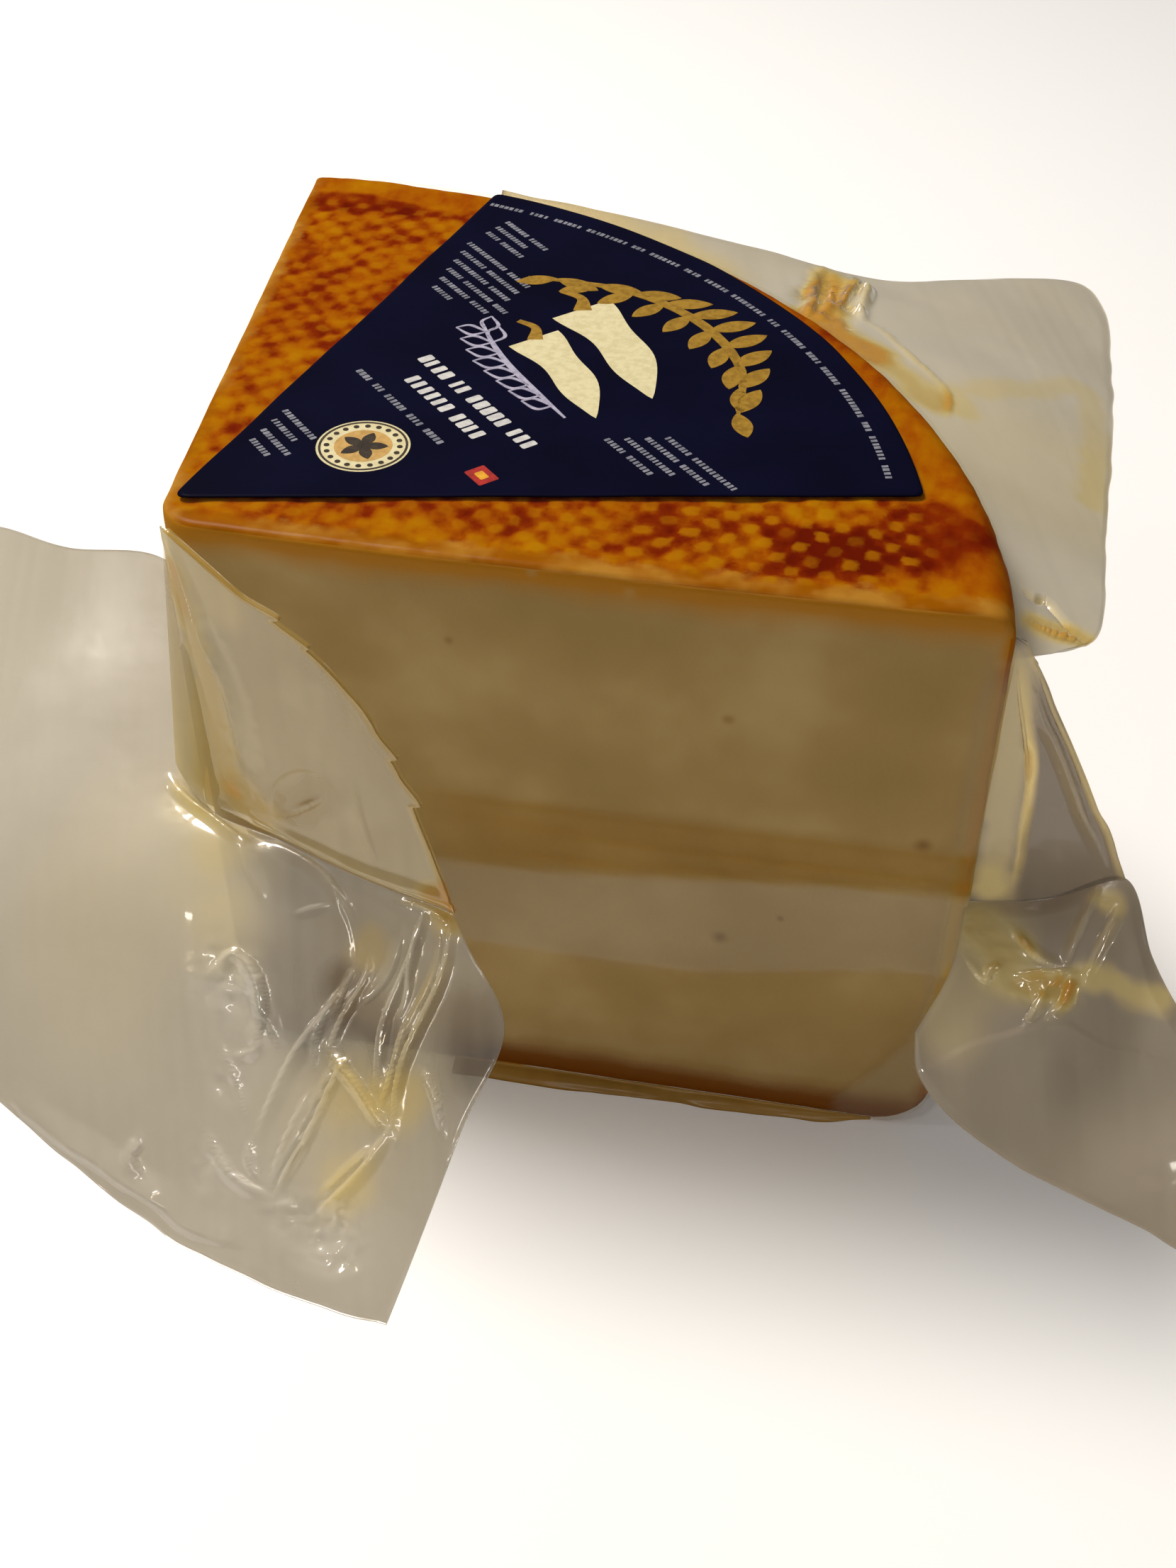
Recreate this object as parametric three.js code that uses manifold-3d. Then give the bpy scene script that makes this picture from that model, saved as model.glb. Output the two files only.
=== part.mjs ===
// Wedge of a paprika-rubbed goat cheese in its clear vacuum bag, with a label on top.
// Millimetres, +Z up. The cuts meet over the point x = 0, y = 0 until the last lines centre the part.
import * as THREE from 'three';
import { mergeVertices } from 'three/addons/utils/BufferGeometryUtils.js';
import Module from 'manifold-3d';

const wasm = await Module();
wasm.setup();

// Driving dimensions of the cheese, which stands in its film
const wheelRadius = 94.6;
const wheelHeight = 82.5;
const topRimRadius = 3.5;
const bottomRimRadius = 8;
const wedgeAngle = THREE.MathUtils.degToRad(95);
const tipFromWheelCentre = new THREE.Vector2(1.7, 5.6);
const tipRounding = 5;

// Driving dimensions of the bag: its skin over the cheese, and its two-ply loose film
const filmGap = 0.3;
const filmThickness = 0.6;
const looseFilmThickness = 0.8;
const seamHeight = 42;
const baseOpeningRadius = 12;
const baseOpeningCentre = new THREE.Vector2(38, 36);

// Driving dimensions of the label, a sector with small round corners
const labelTip = new THREE.Vector2(0.7, 3.8);
const labelRadius = 82.8;
const labelStart = THREE.MathUtils.degToRad(11);
const labelEnd = THREE.MathUtils.degToRad(77.3);
const labelCornerRadius = 1;
const labelThickness = 0.4;
const labelGap = 0.05;

// Facets round the whole wheel, each rim, the tip and the base opening, and steps along the round side
const wheelFacets = 120;
const rimFacets = 5;
const tipFacets = 6;
const openingFacets = 24;
const roundSideSteps = 16;

const cheeseMaterial = new THREE.MeshStandardMaterial({ color: '#c4701c', roughness: 0.6, metalness: 0 });
const filmMaterial = new THREE.MeshStandardMaterial({
  color: '#cfc8bd',
  roughness: 0.2,
  metalness: 0,
  transparent: true,
  opacity: 0.45,
});
const labelMaterial = new THREE.MeshStandardMaterial({ color: '#10153a', roughness: 0.55, metalness: 0 });

// Closed geometry to solid, for joining and cutting
function toSolid(geometry) {
  const bare = geometry.index ? geometry.clone() : geometry;
  bare.deleteAttribute('normal');
  bare.deleteAttribute('uv');
  const welded = mergeVertices(bare, 1e-4);
  const mesh = new wasm.Mesh({
    numProp: 3,
    vertProperties: new Float32Array(welded.attributes.position.array),
    triVerts: new Uint32Array(welded.index.array),
  });
  return new wasm.Manifold(mesh);
}

// Solid back to geometry, for a mesh
function toGeometry(solid) {
  const mesh = solid.getMesh();
  const geometry = new THREE.BufferGeometry();
  geometry.setAttribute('position', new THREE.BufferAttribute(mesh.vertProperties, 3));
  geometry.setIndex(new THREE.BufferAttribute(mesh.triVerts, 1));
  geometry.computeVertexNormals();
  return geometry;
}

// Quarter-round rim of a lathe profile, from one angle to another
function rimArc(centreRadius, centreHeight, radius, fromAngle, toAngle) {
  const points = [];
  for (let i = 0; i <= rimFacets; i += 1) {
    const angle = THREE.MathUtils.lerp(fromAngle, toAngle, i / rimFacets);
    points.push(
      new THREE.Vector2(centreRadius + radius * Math.cos(angle), centreHeight + radius * Math.sin(angle)),
    );
  }
  return points;
}

// Height of the cheese's base and top over the table
const cheeseBase = filmGap + filmThickness;
const cheeseTop = cheeseBase + wheelHeight;

// Whole wheel, grown outwards by `grow` on every side
function wheelSolid(grow) {
  const radius = wheelRadius + grow;
  const bottom = cheeseBase - grow;
  const top = cheeseTop + grow;
  const lowRim = bottomRimRadius + grow;
  const highRim = topRimRadius + grow;
  const profile = [
    new THREE.Vector2(0, bottom),
    ...rimArc(radius - lowRim, bottom + lowRim, lowRim, -Math.PI / 2, 0),
    ...rimArc(radius - highRim, top - highRim, highRim, 0, Math.PI / 2),
    new THREE.Vector2(0, top),
  ];
  const geometry = new THREE.LatheGeometry(profile, wheelFacets);
  geometry.rotateX(Math.PI / 2);
  return toSolid(geometry).translate([-tipFromWheelCentre.x, -tipFromWheelCentre.y, 0]);
}

// Prism between the two cuts, moved outwards by `grow`, with its tip rounded
function cutPrism(grow) {
  const reach = wheelRadius * 2;
  const rounding = tipRounding + grow;
  const halfAngle = wedgeAngle / 2;
  const toCentre = (rounding - grow) / Math.sin(halfAngle);
  const centre = new THREE.Vector2(Math.cos(halfAngle), Math.sin(halfAngle)).multiplyScalar(toCentre);
  const outline = [];
  for (let i = 0; i <= tipFacets; i += 1) {
    const angle = THREE.MathUtils.lerp(wedgeAngle + Math.PI / 2, 1.5 * Math.PI, i / tipFacets);
    outline.push(
      new THREE.Vector2(centre.x + rounding * Math.cos(angle), centre.y + rounding * Math.sin(angle)),
    );
  }
  const along = new THREE.Vector2(Math.cos(wedgeAngle), Math.sin(wedgeAngle)).multiplyScalar(reach);
  outline.push(new THREE.Vector2(outline.at(-1).x + reach, outline.at(-1).y));
  outline.push(new THREE.Vector2(reach, reach));
  outline.push(outline[0].clone().add(along));
  const geometry = new THREE.ExtrudeGeometry(new THREE.Shape(outline), {
    depth: wheelHeight * 3,
    bevelEnabled: false,
  });
  geometry.translate(0, 0, -wheelHeight);
  return toSolid(geometry);
}

function wedgeSolid(grow) {
  return wheelSolid(grow).intersect(cutPrism(grow));
}

// Smooth curve through points given as [x, y, z]
function curve(...points) {
  return new THREE.CatmullRomCurve3(points.map((point) => new THREE.Vector3(...point)), false, 'centripetal');
}

// Point of a film panel stretched between four edge curves that share their corners:
// `inner` and `outer` run with u, `first` and `last` run from inner to outer with v
function panelPoint(panel, u, v) {
  const corner = (edge, end) => edge.getPointAt(end);
  const along = panel.inner.getPointAt(u).lerp(panel.outer.getPointAt(u), v);
  const across = panel.first.getPointAt(v).lerp(panel.last.getPointAt(v), u);
  const innerCorners = corner(panel.inner, 0).lerp(corner(panel.inner, 1), u);
  const outerCorners = corner(panel.outer, 0).lerp(corner(panel.outer, 1), u);
  return along.add(across).sub(innerCorners.lerp(outerCorners, v));
}

// Film panel thickened to a closed solid: both faces and the rim round them
function panelSolid(panel) {
  const { columns, rows } = panel;
  const step = 1e-3;
  const positions = [];
  const faces = [];
  const vertex = (side, column, row) => (side * (columns + 1) + column) * (rows + 1) + row;
  for (const side of [0, 1]) {
    for (let column = 0; column <= columns; column += 1) {
      for (let row = 0; row <= rows; row += 1) {
        const u = column / columns;
        const v = row / rows;
        const point = panelPoint(panel, u, v);
        const alongU = panelPoint(panel, Math.min(u + step, 1), v).sub(
          panelPoint(panel, Math.max(u - step, 0), v),
        );
        const alongV = panelPoint(panel, u, Math.min(v + step, 1)).sub(
          panelPoint(panel, u, Math.max(v - step, 0)),
        );
        const normal = alongU.cross(alongV).normalize();
        point.addScaledVector(normal, (side - 0.5) * looseFilmThickness);
        positions.push(point.x, point.y, point.z);
      }
    }
  }
  const quad = (a, b, c, d) => faces.push(a, b, c, a, c, d);
  for (let column = 0; column < columns; column += 1) {
    for (let row = 0; row < rows; row += 1) {
      quad(
        vertex(1, column, row),
        vertex(1, column + 1, row),
        vertex(1, column + 1, row + 1),
        vertex(1, column, row + 1),
      );
      quad(
        vertex(0, column, row),
        vertex(0, column, row + 1),
        vertex(0, column + 1, row + 1),
        vertex(0, column + 1, row),
      );
    }
  }
  const rim = [];
  for (let column = 0; column < columns; column += 1) rim.push([column, 0]);
  for (let row = 0; row < rows; row += 1) rim.push([columns, row]);
  for (let column = columns; column > 0; column -= 1) rim.push([column, rows]);
  for (let row = rows; row > 0; row -= 1) rim.push([0, row]);
  rim.forEach((here, i) => {
    const next = rim[(i + 1) % rim.length];
    quad(vertex(0, ...here), vertex(0, ...next), vertex(1, ...next), vertex(1, ...here));
  });
  const geometry = new THREE.BufferGeometry();
  geometry.setAttribute('position', new THREE.Float32BufferAttribute(positions, 3));
  geometry.setIndex(faces);
  return toSolid(geometry);
}

// Loose film is rooted just inside the skin, this far off the cheese
const rootDepth = 0.1;
const frontEnd = Math.sqrt(wheelRadius ** 2 - tipFromWheelCentre.y ** 2) - tipFromWheelCentre.x;

// Two panels that meet at a crease run this far past it, one behind and one below
const behindCrease = ([x, y, z]) => [x, y + 0.9, z + 0.5];
const belowCrease = ([x, y, z]) => [x, y, z - 0.9];

// Point on the round side, under the top rim, at an angle round the wheel
function onRoundSide(degrees, height) {
  const angle = THREE.MathUtils.degToRad(degrees);
  const radius = wheelRadius + rootDepth;
  return [
    radius * Math.cos(angle) - tipFromWheelCentre.x,
    radius * Math.sin(angle) - tipFromWheelCentre.y,
    height,
  ];
}

// Left ear: falls from the seam at the tip of the wedge to the table in front, and runs out to the left
const leftCrease = [
  [0.2, -rootDepth, seamHeight],
  [11, -4, 41.2],
  [22, -7.4, 40],
  [33.4, -9.1, 38],
];
const earCrease = leftCrease.map(behindCrease).reverse();
const leftFront = [33.2, -46.8, 8];
const leftSide = [-1.9, 20, 57];
const leftBack = [-63, 50, 44];
const leftEar = {
  columns: 26,
  rows: 16,
  inner: curve(...earCrease, [-0.8, 7, 47], leftSide),
  outer: curve(
    leftFront,
    [16.7, -43, 6],
    [-1.5, -36.3, 6],
    [-20.4, -28.6, 14],
    [-44, -20, 24],
    [-60, 6, 35],
    leftBack,
  ),
  first: curve(earCrease[0], [36.5, -13.1, 36], [41.8, -19.4, 31], [38.7, -28.7, 23], leftFront),
  last: curve(leftSide, [-14.2, 28.6, 58], [-28, 32, 54], [-42.9, 40.6, 50], leftBack),
};

// Left pleat: the upright triangle of film from the top of the tip, folded over the front cut
const tipTop = [0.6, -rootDepth, cheeseTop - 0.4];
const tipTopFold = [2, -1.2, cheeseTop];
const leftPleatCrease = leftCrease.map(belowCrease);
const leftPleat = {
  columns: 14,
  rows: 8,
  inner: curve(tipTop, leftPleatCrease[0]),
  outer: curve(tipTopFold, [8.7, -3.2, 79], [21.2, -4.6, 67], [27.6, -5.6, 54], leftPleatCrease.at(-1)),
  first: curve(tipTop, tipTopFold),
  last: curve(...leftPleatCrease),
};

// Right pleat: the upright triangle of film that stands off the far end of the front cut
const rightCrease = [
  [frontEnd + rootDepth, 0.4, seamHeight],
  [102, 2.2, 42.5],
  [110.5, 3.5, 46],
];
const endTop = [frontEnd - 0.5, 0.6, cheeseTop - 2.4];
const endTopFold = [frontEnd + 1.6, 0.8, cheeseTop - 3.4];
const rightPleatCrease = rightCrease.map(belowCrease);
const rightPleat = {
  columns: 14,
  rows: 6,
  inner: curve(endTop, rightPleatCrease[0]),
  outer: curve(endTopFold, [102.7, 2.6, 63], rightPleatCrease.at(-1)),
  first: curve(endTop, endTopFold),
  last: curve(...rightPleatCrease),
};

// Right ear: leaves the seam beside the front cut and narrows to the corner of the bag
const rightEarCrease = rightCrease.map(behindCrease);
const rightNear = [88.6, -15.1, 35];
const rightFar = [134, -23, 25];
const rightTip = [135.5, -31, 15];
const rightEar = {
  columns: 20,
  rows: 10,
  inner: curve(...rightEarCrease, [114.4, -3, 40.5], [117.4, -7.5, 38], [123.1, -13.5, 34], rightFar),
  outer: curve(rightNear, [89.4, -18.5, 32.6], [93.5, -22.1, 30], [102, -24.6, 26], [120.3, -27.5, 20], rightTip),
  first: curve(rightEarCrease[0], [91.8, -8, 38.5], rightNear),
  last: curve(rightFar, rightTip),
};

// Back flap: the closed end of the bag, from the rim of the round side to its square corner
const roundSideEdge = [];
for (let i = 0; i <= roundSideSteps; i += 1) {
  const along = i / roundSideSteps;
  roundSideEdge.push(
    onRoundSide(THREE.MathUtils.lerp(78, 5, along), THREE.MathUtils.lerp(79, 76, along)),
  );
}
const backLeft = roundSideEdge[0];
const backLeftEdge = [18.3, 90.7, 82];
const backRight = roundSideEdge.at(-1);
const backRightEdge = [97.3, 6.2, 75];
const backFlap = {
  columns: 26,
  rows: 12,
  inner: curve(...roundSideEdge),
  outer: curve(
    backLeftEdge,
    [36.5, 90.4, 80],
    [53.2, 93.2, 76],
    [73.5, 100.9, 69],
    [93.5, 116, 63],
    [103.5, 121, 60],
    [106.8, 112.7, 60],
    [107.2, 90.3, 62],
    [104.7, 37.4, 68],
    [102.2, 12.1, 73],
    backRightEdge,
  ),
  first: curve(backLeft, backLeftEdge),
  last: curve(backRight, backRightEdge),
};

// Round opening in the film under the middle of the base
const openingCylinder = new THREE.CylinderGeometry(
  baseOpeningRadius,
  baseOpeningRadius,
  cheeseBase * 2,
  openingFacets,
);
openingCylinder.rotateX(Math.PI / 2);
openingCylinder.translate(baseOpeningCentre.x, baseOpeningCentre.y, 0);

const panels = [leftEar, leftPleat, rightPleat, rightEar, backFlap];
const bagSolid = panels
  .reduce((joined, panel) => joined.add(panelSolid(panel)), wedgeSolid(filmGap + filmThickness))
  .subtract(wedgeSolid(filmGap))
  .subtract(toSolid(openingCylinder));

// Label outline: both straight sides and the arc, with every corner rounded
function labelOutline() {
  const shape = new THREE.Shape();
  const round = labelCornerRadius;
  const turn = round / (labelRadius - round);
  const tipAlong = round / Math.tan((labelEnd - labelStart) / 2);
  const at = (radius, angle) => [radius * Math.cos(angle), radius * Math.sin(angle)];
  shape.moveTo(...at(tipAlong, labelStart));
  shape.lineTo(...at(labelRadius - round, labelStart));
  shape.quadraticCurveTo(...at(labelRadius, labelStart), ...at(labelRadius, labelStart + turn));
  shape.absarc(0, 0, labelRadius, labelStart + turn, labelEnd - turn, false);
  shape.quadraticCurveTo(...at(labelRadius, labelEnd), ...at(labelRadius - round, labelEnd));
  shape.lineTo(...at(tipAlong, labelEnd));
  shape.quadraticCurveTo(0, 0, ...at(tipAlong, labelStart));
  return shape;
}

const labelGeometry = new THREE.ExtrudeGeometry(labelOutline(), {
  depth: labelThickness,
  bevelEnabled: false,
  curveSegments: 18,
});

const part = new THREE.Group();

function addMesh(name, geometry, material) {
  const mesh = new THREE.Mesh(geometry, material);
  mesh.name = name;
  part.add(mesh);
  return mesh;
}

addMesh('cheese', toGeometry(wedgeSolid(0)), cheeseMaterial);
addMesh('bag', toGeometry(bagSolid), filmMaterial);
const label = addMesh('label', labelGeometry, labelMaterial);
label.position.set(labelTip.x, labelTip.y, cheeseTop + filmGap + filmThickness + labelGap);

// Origin at the middle of the footprint, on the table
const bounds = new THREE.Box3().setFromObject(part);
const centre = bounds.getCenter(new THREE.Vector3());
part.position.set(-centre.x, -centre.y, -bounds.min.z);

export default part;
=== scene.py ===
"""Looks of a paprika-rubbed goat cheese wedge in its clear vacuum bag, with a paper label on top.

Shapes are worked out in millimetres on the wedge's own axes, as in the part's source: the two cuts meet over
x = 0, y = 0, +X runs along the front cut, +Y away from it, and the table is z = 0.
"""

import math

import bpy
import numpy as np
from mathutils.geometry import tessellate_polygon
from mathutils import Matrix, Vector


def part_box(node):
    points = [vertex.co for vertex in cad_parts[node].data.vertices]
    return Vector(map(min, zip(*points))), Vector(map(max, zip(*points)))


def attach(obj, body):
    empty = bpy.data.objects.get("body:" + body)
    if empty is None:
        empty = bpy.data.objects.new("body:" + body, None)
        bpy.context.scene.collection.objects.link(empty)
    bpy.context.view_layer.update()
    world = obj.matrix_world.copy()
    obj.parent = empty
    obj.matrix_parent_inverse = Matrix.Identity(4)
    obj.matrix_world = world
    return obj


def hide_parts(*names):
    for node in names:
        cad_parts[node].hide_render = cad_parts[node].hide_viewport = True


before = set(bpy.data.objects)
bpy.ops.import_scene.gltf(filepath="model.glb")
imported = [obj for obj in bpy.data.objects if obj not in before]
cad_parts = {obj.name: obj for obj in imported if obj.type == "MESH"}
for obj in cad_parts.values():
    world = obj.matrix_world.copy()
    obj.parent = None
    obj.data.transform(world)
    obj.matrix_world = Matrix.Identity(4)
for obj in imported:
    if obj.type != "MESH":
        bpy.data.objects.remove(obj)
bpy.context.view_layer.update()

MM = 0.001

# Driving sizes of the wedge, as in the part's source
WHEEL_RADIUS = 94.6
TOP_RIM_RADIUS = 3.5
BOTTOM_RIM_RADIUS = 8.0
WEDGE_ANGLE = math.radians(95)
TIP_FROM_WHEEL_CENTRE = np.array([1.7, 5.6])
TIP_ROUNDING = 5.0
SEAM_HEIGHT = 42.0

# Sizes that the frame gives: the cheese's base and top, and where the wedge's own axes start
cheese_low, cheese_high = (np.array(corner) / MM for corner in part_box("cheese"))
CHEESE_BASE = cheese_low[2]
CHEESE_TOP = cheese_high[2]
FRONT_END = math.sqrt(WHEEL_RADIUS**2 - TIP_FROM_WHEEL_CENTRE[1] ** 2) - TIP_FROM_WHEEL_CENTRE[0]
WEDGE_ORIGIN = np.array([cheese_high[0] - FRONT_END, cheese_low[1], 0.0])

# How far in mm the pressed cheese, and the film that clings to it, stand out from the frame's cheese
CHEESE_GROWTH = 0.3
FILM_GROWTH = 0.6

# The label, a sector: its tip's place, radius, the angles of its two straight sides, corners and thickness
LABEL_TIP = np.array([0.7, 3.8])
LABEL_RADIUS = 82.8
LABEL_START = math.radians(11)
LABEL_END = math.radians(77.3)
LABEL_CORNER = 1.0
LABEL_THICKNESS = 0.16

# The cloth that the cheese was pressed in: its threads' spacing, their slow and quick wandering, how far they
# are turned from the front cut, and the height of the bumps between them
THREAD_PITCH = 2.05
THREAD_DRIFT = 0.8
THREAD_JITTER = 0.28
THREAD_TURN = 0.05
WEAVE_HEIGHT = 0.1

# Relief in mm: lumps and pits of the rind, the wire's marks and slow waves of the cuts, the most that all of
# them may add up to, and how far the front cut bulges
LUMP_HEIGHT = 0.16
PIT_HEIGHT = 0.05
WIRE_MARK_HEIGHT = 0.03
CUT_WAVE_HEIGHT = 0.08
RELIEF_LIMIT = 0.2
FRONT_BULGE = 0.8

# The soaked band is this many times thinner in from the round side than below the top
ROUND_BAND_THINNING = 2.5

# The film's relief in mm: its wrinkles, the upright ridges where it is drawn, the creases over the top rim,
# the fold across the front with its lines, and how far the film stands off the tip
WRINKLE_HEIGHT = 0.05
RIDGE_HEIGHT = 0.10
RIM_CREASE_HEIGHT = 0.06
FOLD_HEIGHT = 0.12
FOLD_LINE_HEIGHT = 0.10
TIP_STAND_OFF = 3.6

# Heights in mm of the label's ripple, the print over the paper, each layer over the last, and the ink
LABEL_RIPPLE = 0.07
PRINT_RISE = 0.03
LAYER_RISE = 0.02
INK_THICKNESS = 0.04


def linear(code):
    """Linear RGBA of an sRGB hex colour."""
    channels = [int(code[i : i + 2], 16) / 255 for i in (1, 3, 5)]
    return (*(c / 12.92 if c <= 0.04045 else ((c + 0.055) / 1.055) ** 2.4 for c in channels), 1.0)


# Seeded random fields

random = np.random.default_rng(11)
SHUFFLE = random.permutation(4096)
LEVELS = random.uniform(-1, 1, 4096)


def noise(points, size, seed=0):
    """Smooth random field from -1 to 1 at points in mm, with spots of about the given size."""
    cells = np.asarray(points, float) / size
    base = np.floor(cells).astype(int)
    part = cells - base
    ease = part**3 * (part * (part * 6 - 15) + 10)
    total = 0
    for corner in np.ndindex(*(2,) * cells.shape[-1]):
        place = np.full(cells.shape[:-1], seed * 7)
        weight = 1.0
        for axis, step in enumerate(corner):
            place = SHUFFLE[(place + base[..., axis] + step) & 4095]
            weight = weight * (ease[..., axis] if step else 1 - ease[..., axis])
        total = total + LEVELS[place] * weight
    return total


def rough(points, size, octaves, seed=0):
    """Noise with finer and fainter layers added."""
    return sum(noise(points, size / 2**i, seed + i) / 2**i for i in range(octaves))


def ridged(points, size, octaves, seed=0):
    """Field from 0 to about 1 with sharp crests, like the folds of crumpled film."""
    return sum((1 - np.abs(noise(points, size / 2**i, seed + i)) * 2) / 2**i for i in range(octaves)) / 2


def fade(value, low, high):
    """0 below low, 1 above high, smooth between; low may be the larger."""
    t = np.clip((value - low) / (high - low), 0, 1)
    return t * t * (3 - 2 * t)


# Meshes


def add_object(name, data):
    """New object in the scene that shows a mesh, camera or light."""
    made = bpy.data.objects.new(name, data)
    bpy.context.scene.collection.objects.link(made)
    return made


def add_piece(name, points, faces, material, replaced=(), attributes=None, smooth=True):
    """Object from points in mm in the wedge's frame, which rides on the part and replaces CAD nodes."""
    mesh = bpy.data.meshes.new(name)
    placed = (np.asarray(points, float).reshape(-1, 3) + WEDGE_ORIGIN) * MM
    mesh.from_pydata(placed.tolist(), [], [tuple(face) for face in faces])
    mesh.validate()
    mesh.polygons.foreach_set("use_smooth", [smooth] * len(mesh.polygons))
    for title, values in (attributes or {}).items():
        values = np.asarray(values, np.float32)
        kind = "FLOAT" if values.ndim == 1 else "FLOAT_VECTOR"
        layer = mesh.attributes.new(title, kind, "POINT")
        layer.data.foreach_set("value" if values.ndim == 1 else "vector", values.ravel())
    mesh.update()
    for each in np.atleast_1d(material):
        mesh.materials.append(each)
    piece = add_object(name, mesh)
    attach(piece, "root")
    if replaced:
        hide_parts(*replaced)
    return piece


def grid_faces(rows, columns, start=0, closed=False, flip=False):
    """Quads of a grid of points stored row by row, joined round to its first column if closed."""
    row, column = np.mgrid[0 : rows - 1, 0 : columns if closed else columns - 1]
    after = (column + 1) % columns
    here, below = row * columns, (row + 1) * columns
    quads = np.stack([here + column, here + after, below + after, below + column], -1).reshape(-1, 4)
    return (quads[:, ::-1] if flip else quads) + start


def grid_normals(grid):
    """Unit normals of a grid of points, from its columns and rows."""
    normal = np.cross(np.gradient(grid, axis=0), np.gradient(grid, axis=1))
    return normal / np.maximum(np.linalg.norm(normal, axis=-1, keepdims=True), 1e-9)


def on_circle(centre, radius, angle):
    """Points of a circle at angles in radians."""
    return centre + radius * np.array([np.cos(angle), np.sin(angle)]).T


def bend(start, middle, end, t):
    """Points of a curve that leaves start towards middle and arrives at end, at shares t of the way."""
    return start * (1 - t) ** 2 + middle * 2 * t * (1 - t) + end * t**2


# The wedge's outline and its rings, for the cheese and for the film round it


def wedge_outline(cut_inset, round_inset, counts):
    """Closed outline of the wedge seen from above, with its cuts and round side moved inwards.

    counts gives how many points the tip, front cut, round side, left cut and each far corner take.
    """
    tip_count, front_count, round_count, left_count, corner_count = counts
    half = WEDGE_ANGLE / 2
    centre = -TIP_FROM_WHEEL_CENTRE
    radius = WHEEL_RADIUS - round_inset
    rounding = max(TIP_ROUNDING - cut_inset, 0.3)
    tip_centre = np.array([math.cos(half), math.sin(half)]) * (cut_inset + rounding) / math.sin(half)
    along = np.array([math.cos(WEDGE_ANGLE), math.sin(WEDGE_ANGLE)])
    inward = np.array([math.sin(WEDGE_ANGLE), -math.cos(WEDGE_ANGLE)])
    corner_reach = 1.1

    def share(count):
        return (np.arange(count) / count)[:, None]

    front_corner = np.array([math.sqrt(radius**2 - (cut_inset - centre[1]) ** 2) + centre[0], cut_inset])
    offset = inward * cut_inset - centre
    left_reach = -along @ offset + math.sqrt((along @ offset) ** 2 - offset @ offset + radius**2)
    left_corner = along * left_reach + inward * cut_inset
    first_angle, last_angle = (math.atan2(*(corner - centre)[::-1]) for corner in (front_corner, left_corner))
    turn = corner_reach / radius
    tip_angles = WEDGE_ANGLE + math.pi / 2 + (math.pi - WEDGE_ANGLE) * share(tip_count)[:, 0]
    front_start = tip_centre - np.array([0, rounding])
    left_end = tip_centre - inward * rounding
    front_stop = front_corner - np.array([corner_reach, 0])
    left_start = left_corner - along * corner_reach
    round_start, round_stop = (on_circle(centre, radius, a) for a in (first_angle + turn, last_angle - turn))
    round_angles = first_angle + turn + (last_angle - first_angle - 2 * turn) * share(round_count)[:, 0]
    return np.vstack(
        [
            on_circle(tip_centre, rounding, tip_angles),
            front_start + (front_stop - front_start) * share(front_count),
            bend(front_stop, front_corner, round_start, share(corner_count)),
            on_circle(centre, radius, round_angles),
            bend(round_stop, left_corner, left_start, share(corner_count)),
            left_start + (left_end - left_start) * share(left_count),
        ]
    )


def rounded(depth, radius):
    """How far a quarter-round edge stands back at a depth below its flat face."""
    depth = min(max(depth, 0), radius)
    return radius - math.sqrt(radius**2 - (radius - depth) ** 2)


def wedge_rings(growth, counts, edge_radius, cap_steps, side_steps):
    """Rings of the grown wedge's surface, from the middle of its base, up its sides, to that of its top.

    cap_steps are the distances inwards of the rings on each flat side, and side_steps those between heights.
    """
    base, top = CHEESE_BASE - growth, CHEESE_TOP + growth
    heights = sorted({base + step for step in side_steps[0]} | {top - step for step in side_steps[1]})
    heights = np.array([height for height in heights if base < height < top])
    between = np.arange(base + side_steps[0][-1], top - side_steps[1][-1], side_steps[2])
    heights = np.unique(np.round(np.concatenate([heights, between]), 4))
    heights = heights[np.concatenate([[True], np.diff(heights) > 0.04])]
    low_cut, low_round = edge_radius - growth, BOTTOM_RIM_RADIUS - growth
    high_cut, high_round = edge_radius - growth, TOP_RIM_RADIUS - growth
    rings = [(base, low_cut + step, low_round + step) for step in cap_steps[0][::-1]]
    for height in heights:
        cut = max(rounded(height - base, edge_radius), rounded(top - height, edge_radius))
        side = max(rounded(height - base, BOTTOM_RIM_RADIUS), rounded(top - height, TOP_RIM_RADIUS))
        rings.append((height, cut - growth, side - growth))
    rings += [(top, high_cut + step, high_round + step) for step in cap_steps[1]]
    return np.array([[(x, y, z) for x, y in wedge_outline(cut, side, counts)] for z, cut, side in rings])


def close_rings(rings):
    """Points and faces of a closed surface from rings, with a fan at each end."""
    rows, columns, _ = rings.shape
    first, last = rings[0].mean(0), rings[-1].mean(0)
    points = np.vstack([rings.reshape(-1, 3), first, last])
    faces = [tuple(quad) for quad in grid_faces(rows, columns, closed=True)]
    low, high, end = rows * columns, rows * columns + 1, (rows - 1) * columns
    for column in range(columns):
        after = (column + 1) % columns
        faces.append((low, after, column))
        faces.append((high, end + column, end + after))
    return points, faces


def grown_wedge(*sizes):
    """Points, outward normals and faces of the grown wedge, and where its points lie."""
    rings = wedge_rings(*sizes)
    normals = -np.cross(np.gradient(rings, axis=0), np.roll(rings, -1, 1) - np.roll(rings, 1, 1))
    normals /= np.maximum(np.linalg.norm(normals, axis=-1, keepdims=True), 1e-9)
    points, faces = close_rings(rings)
    normals = np.vstack([normals.reshape(-1, 3), [[0, 0, -1], [0, 0, 1]]])
    return points, normals, faces, surface_facts(points)


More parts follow.
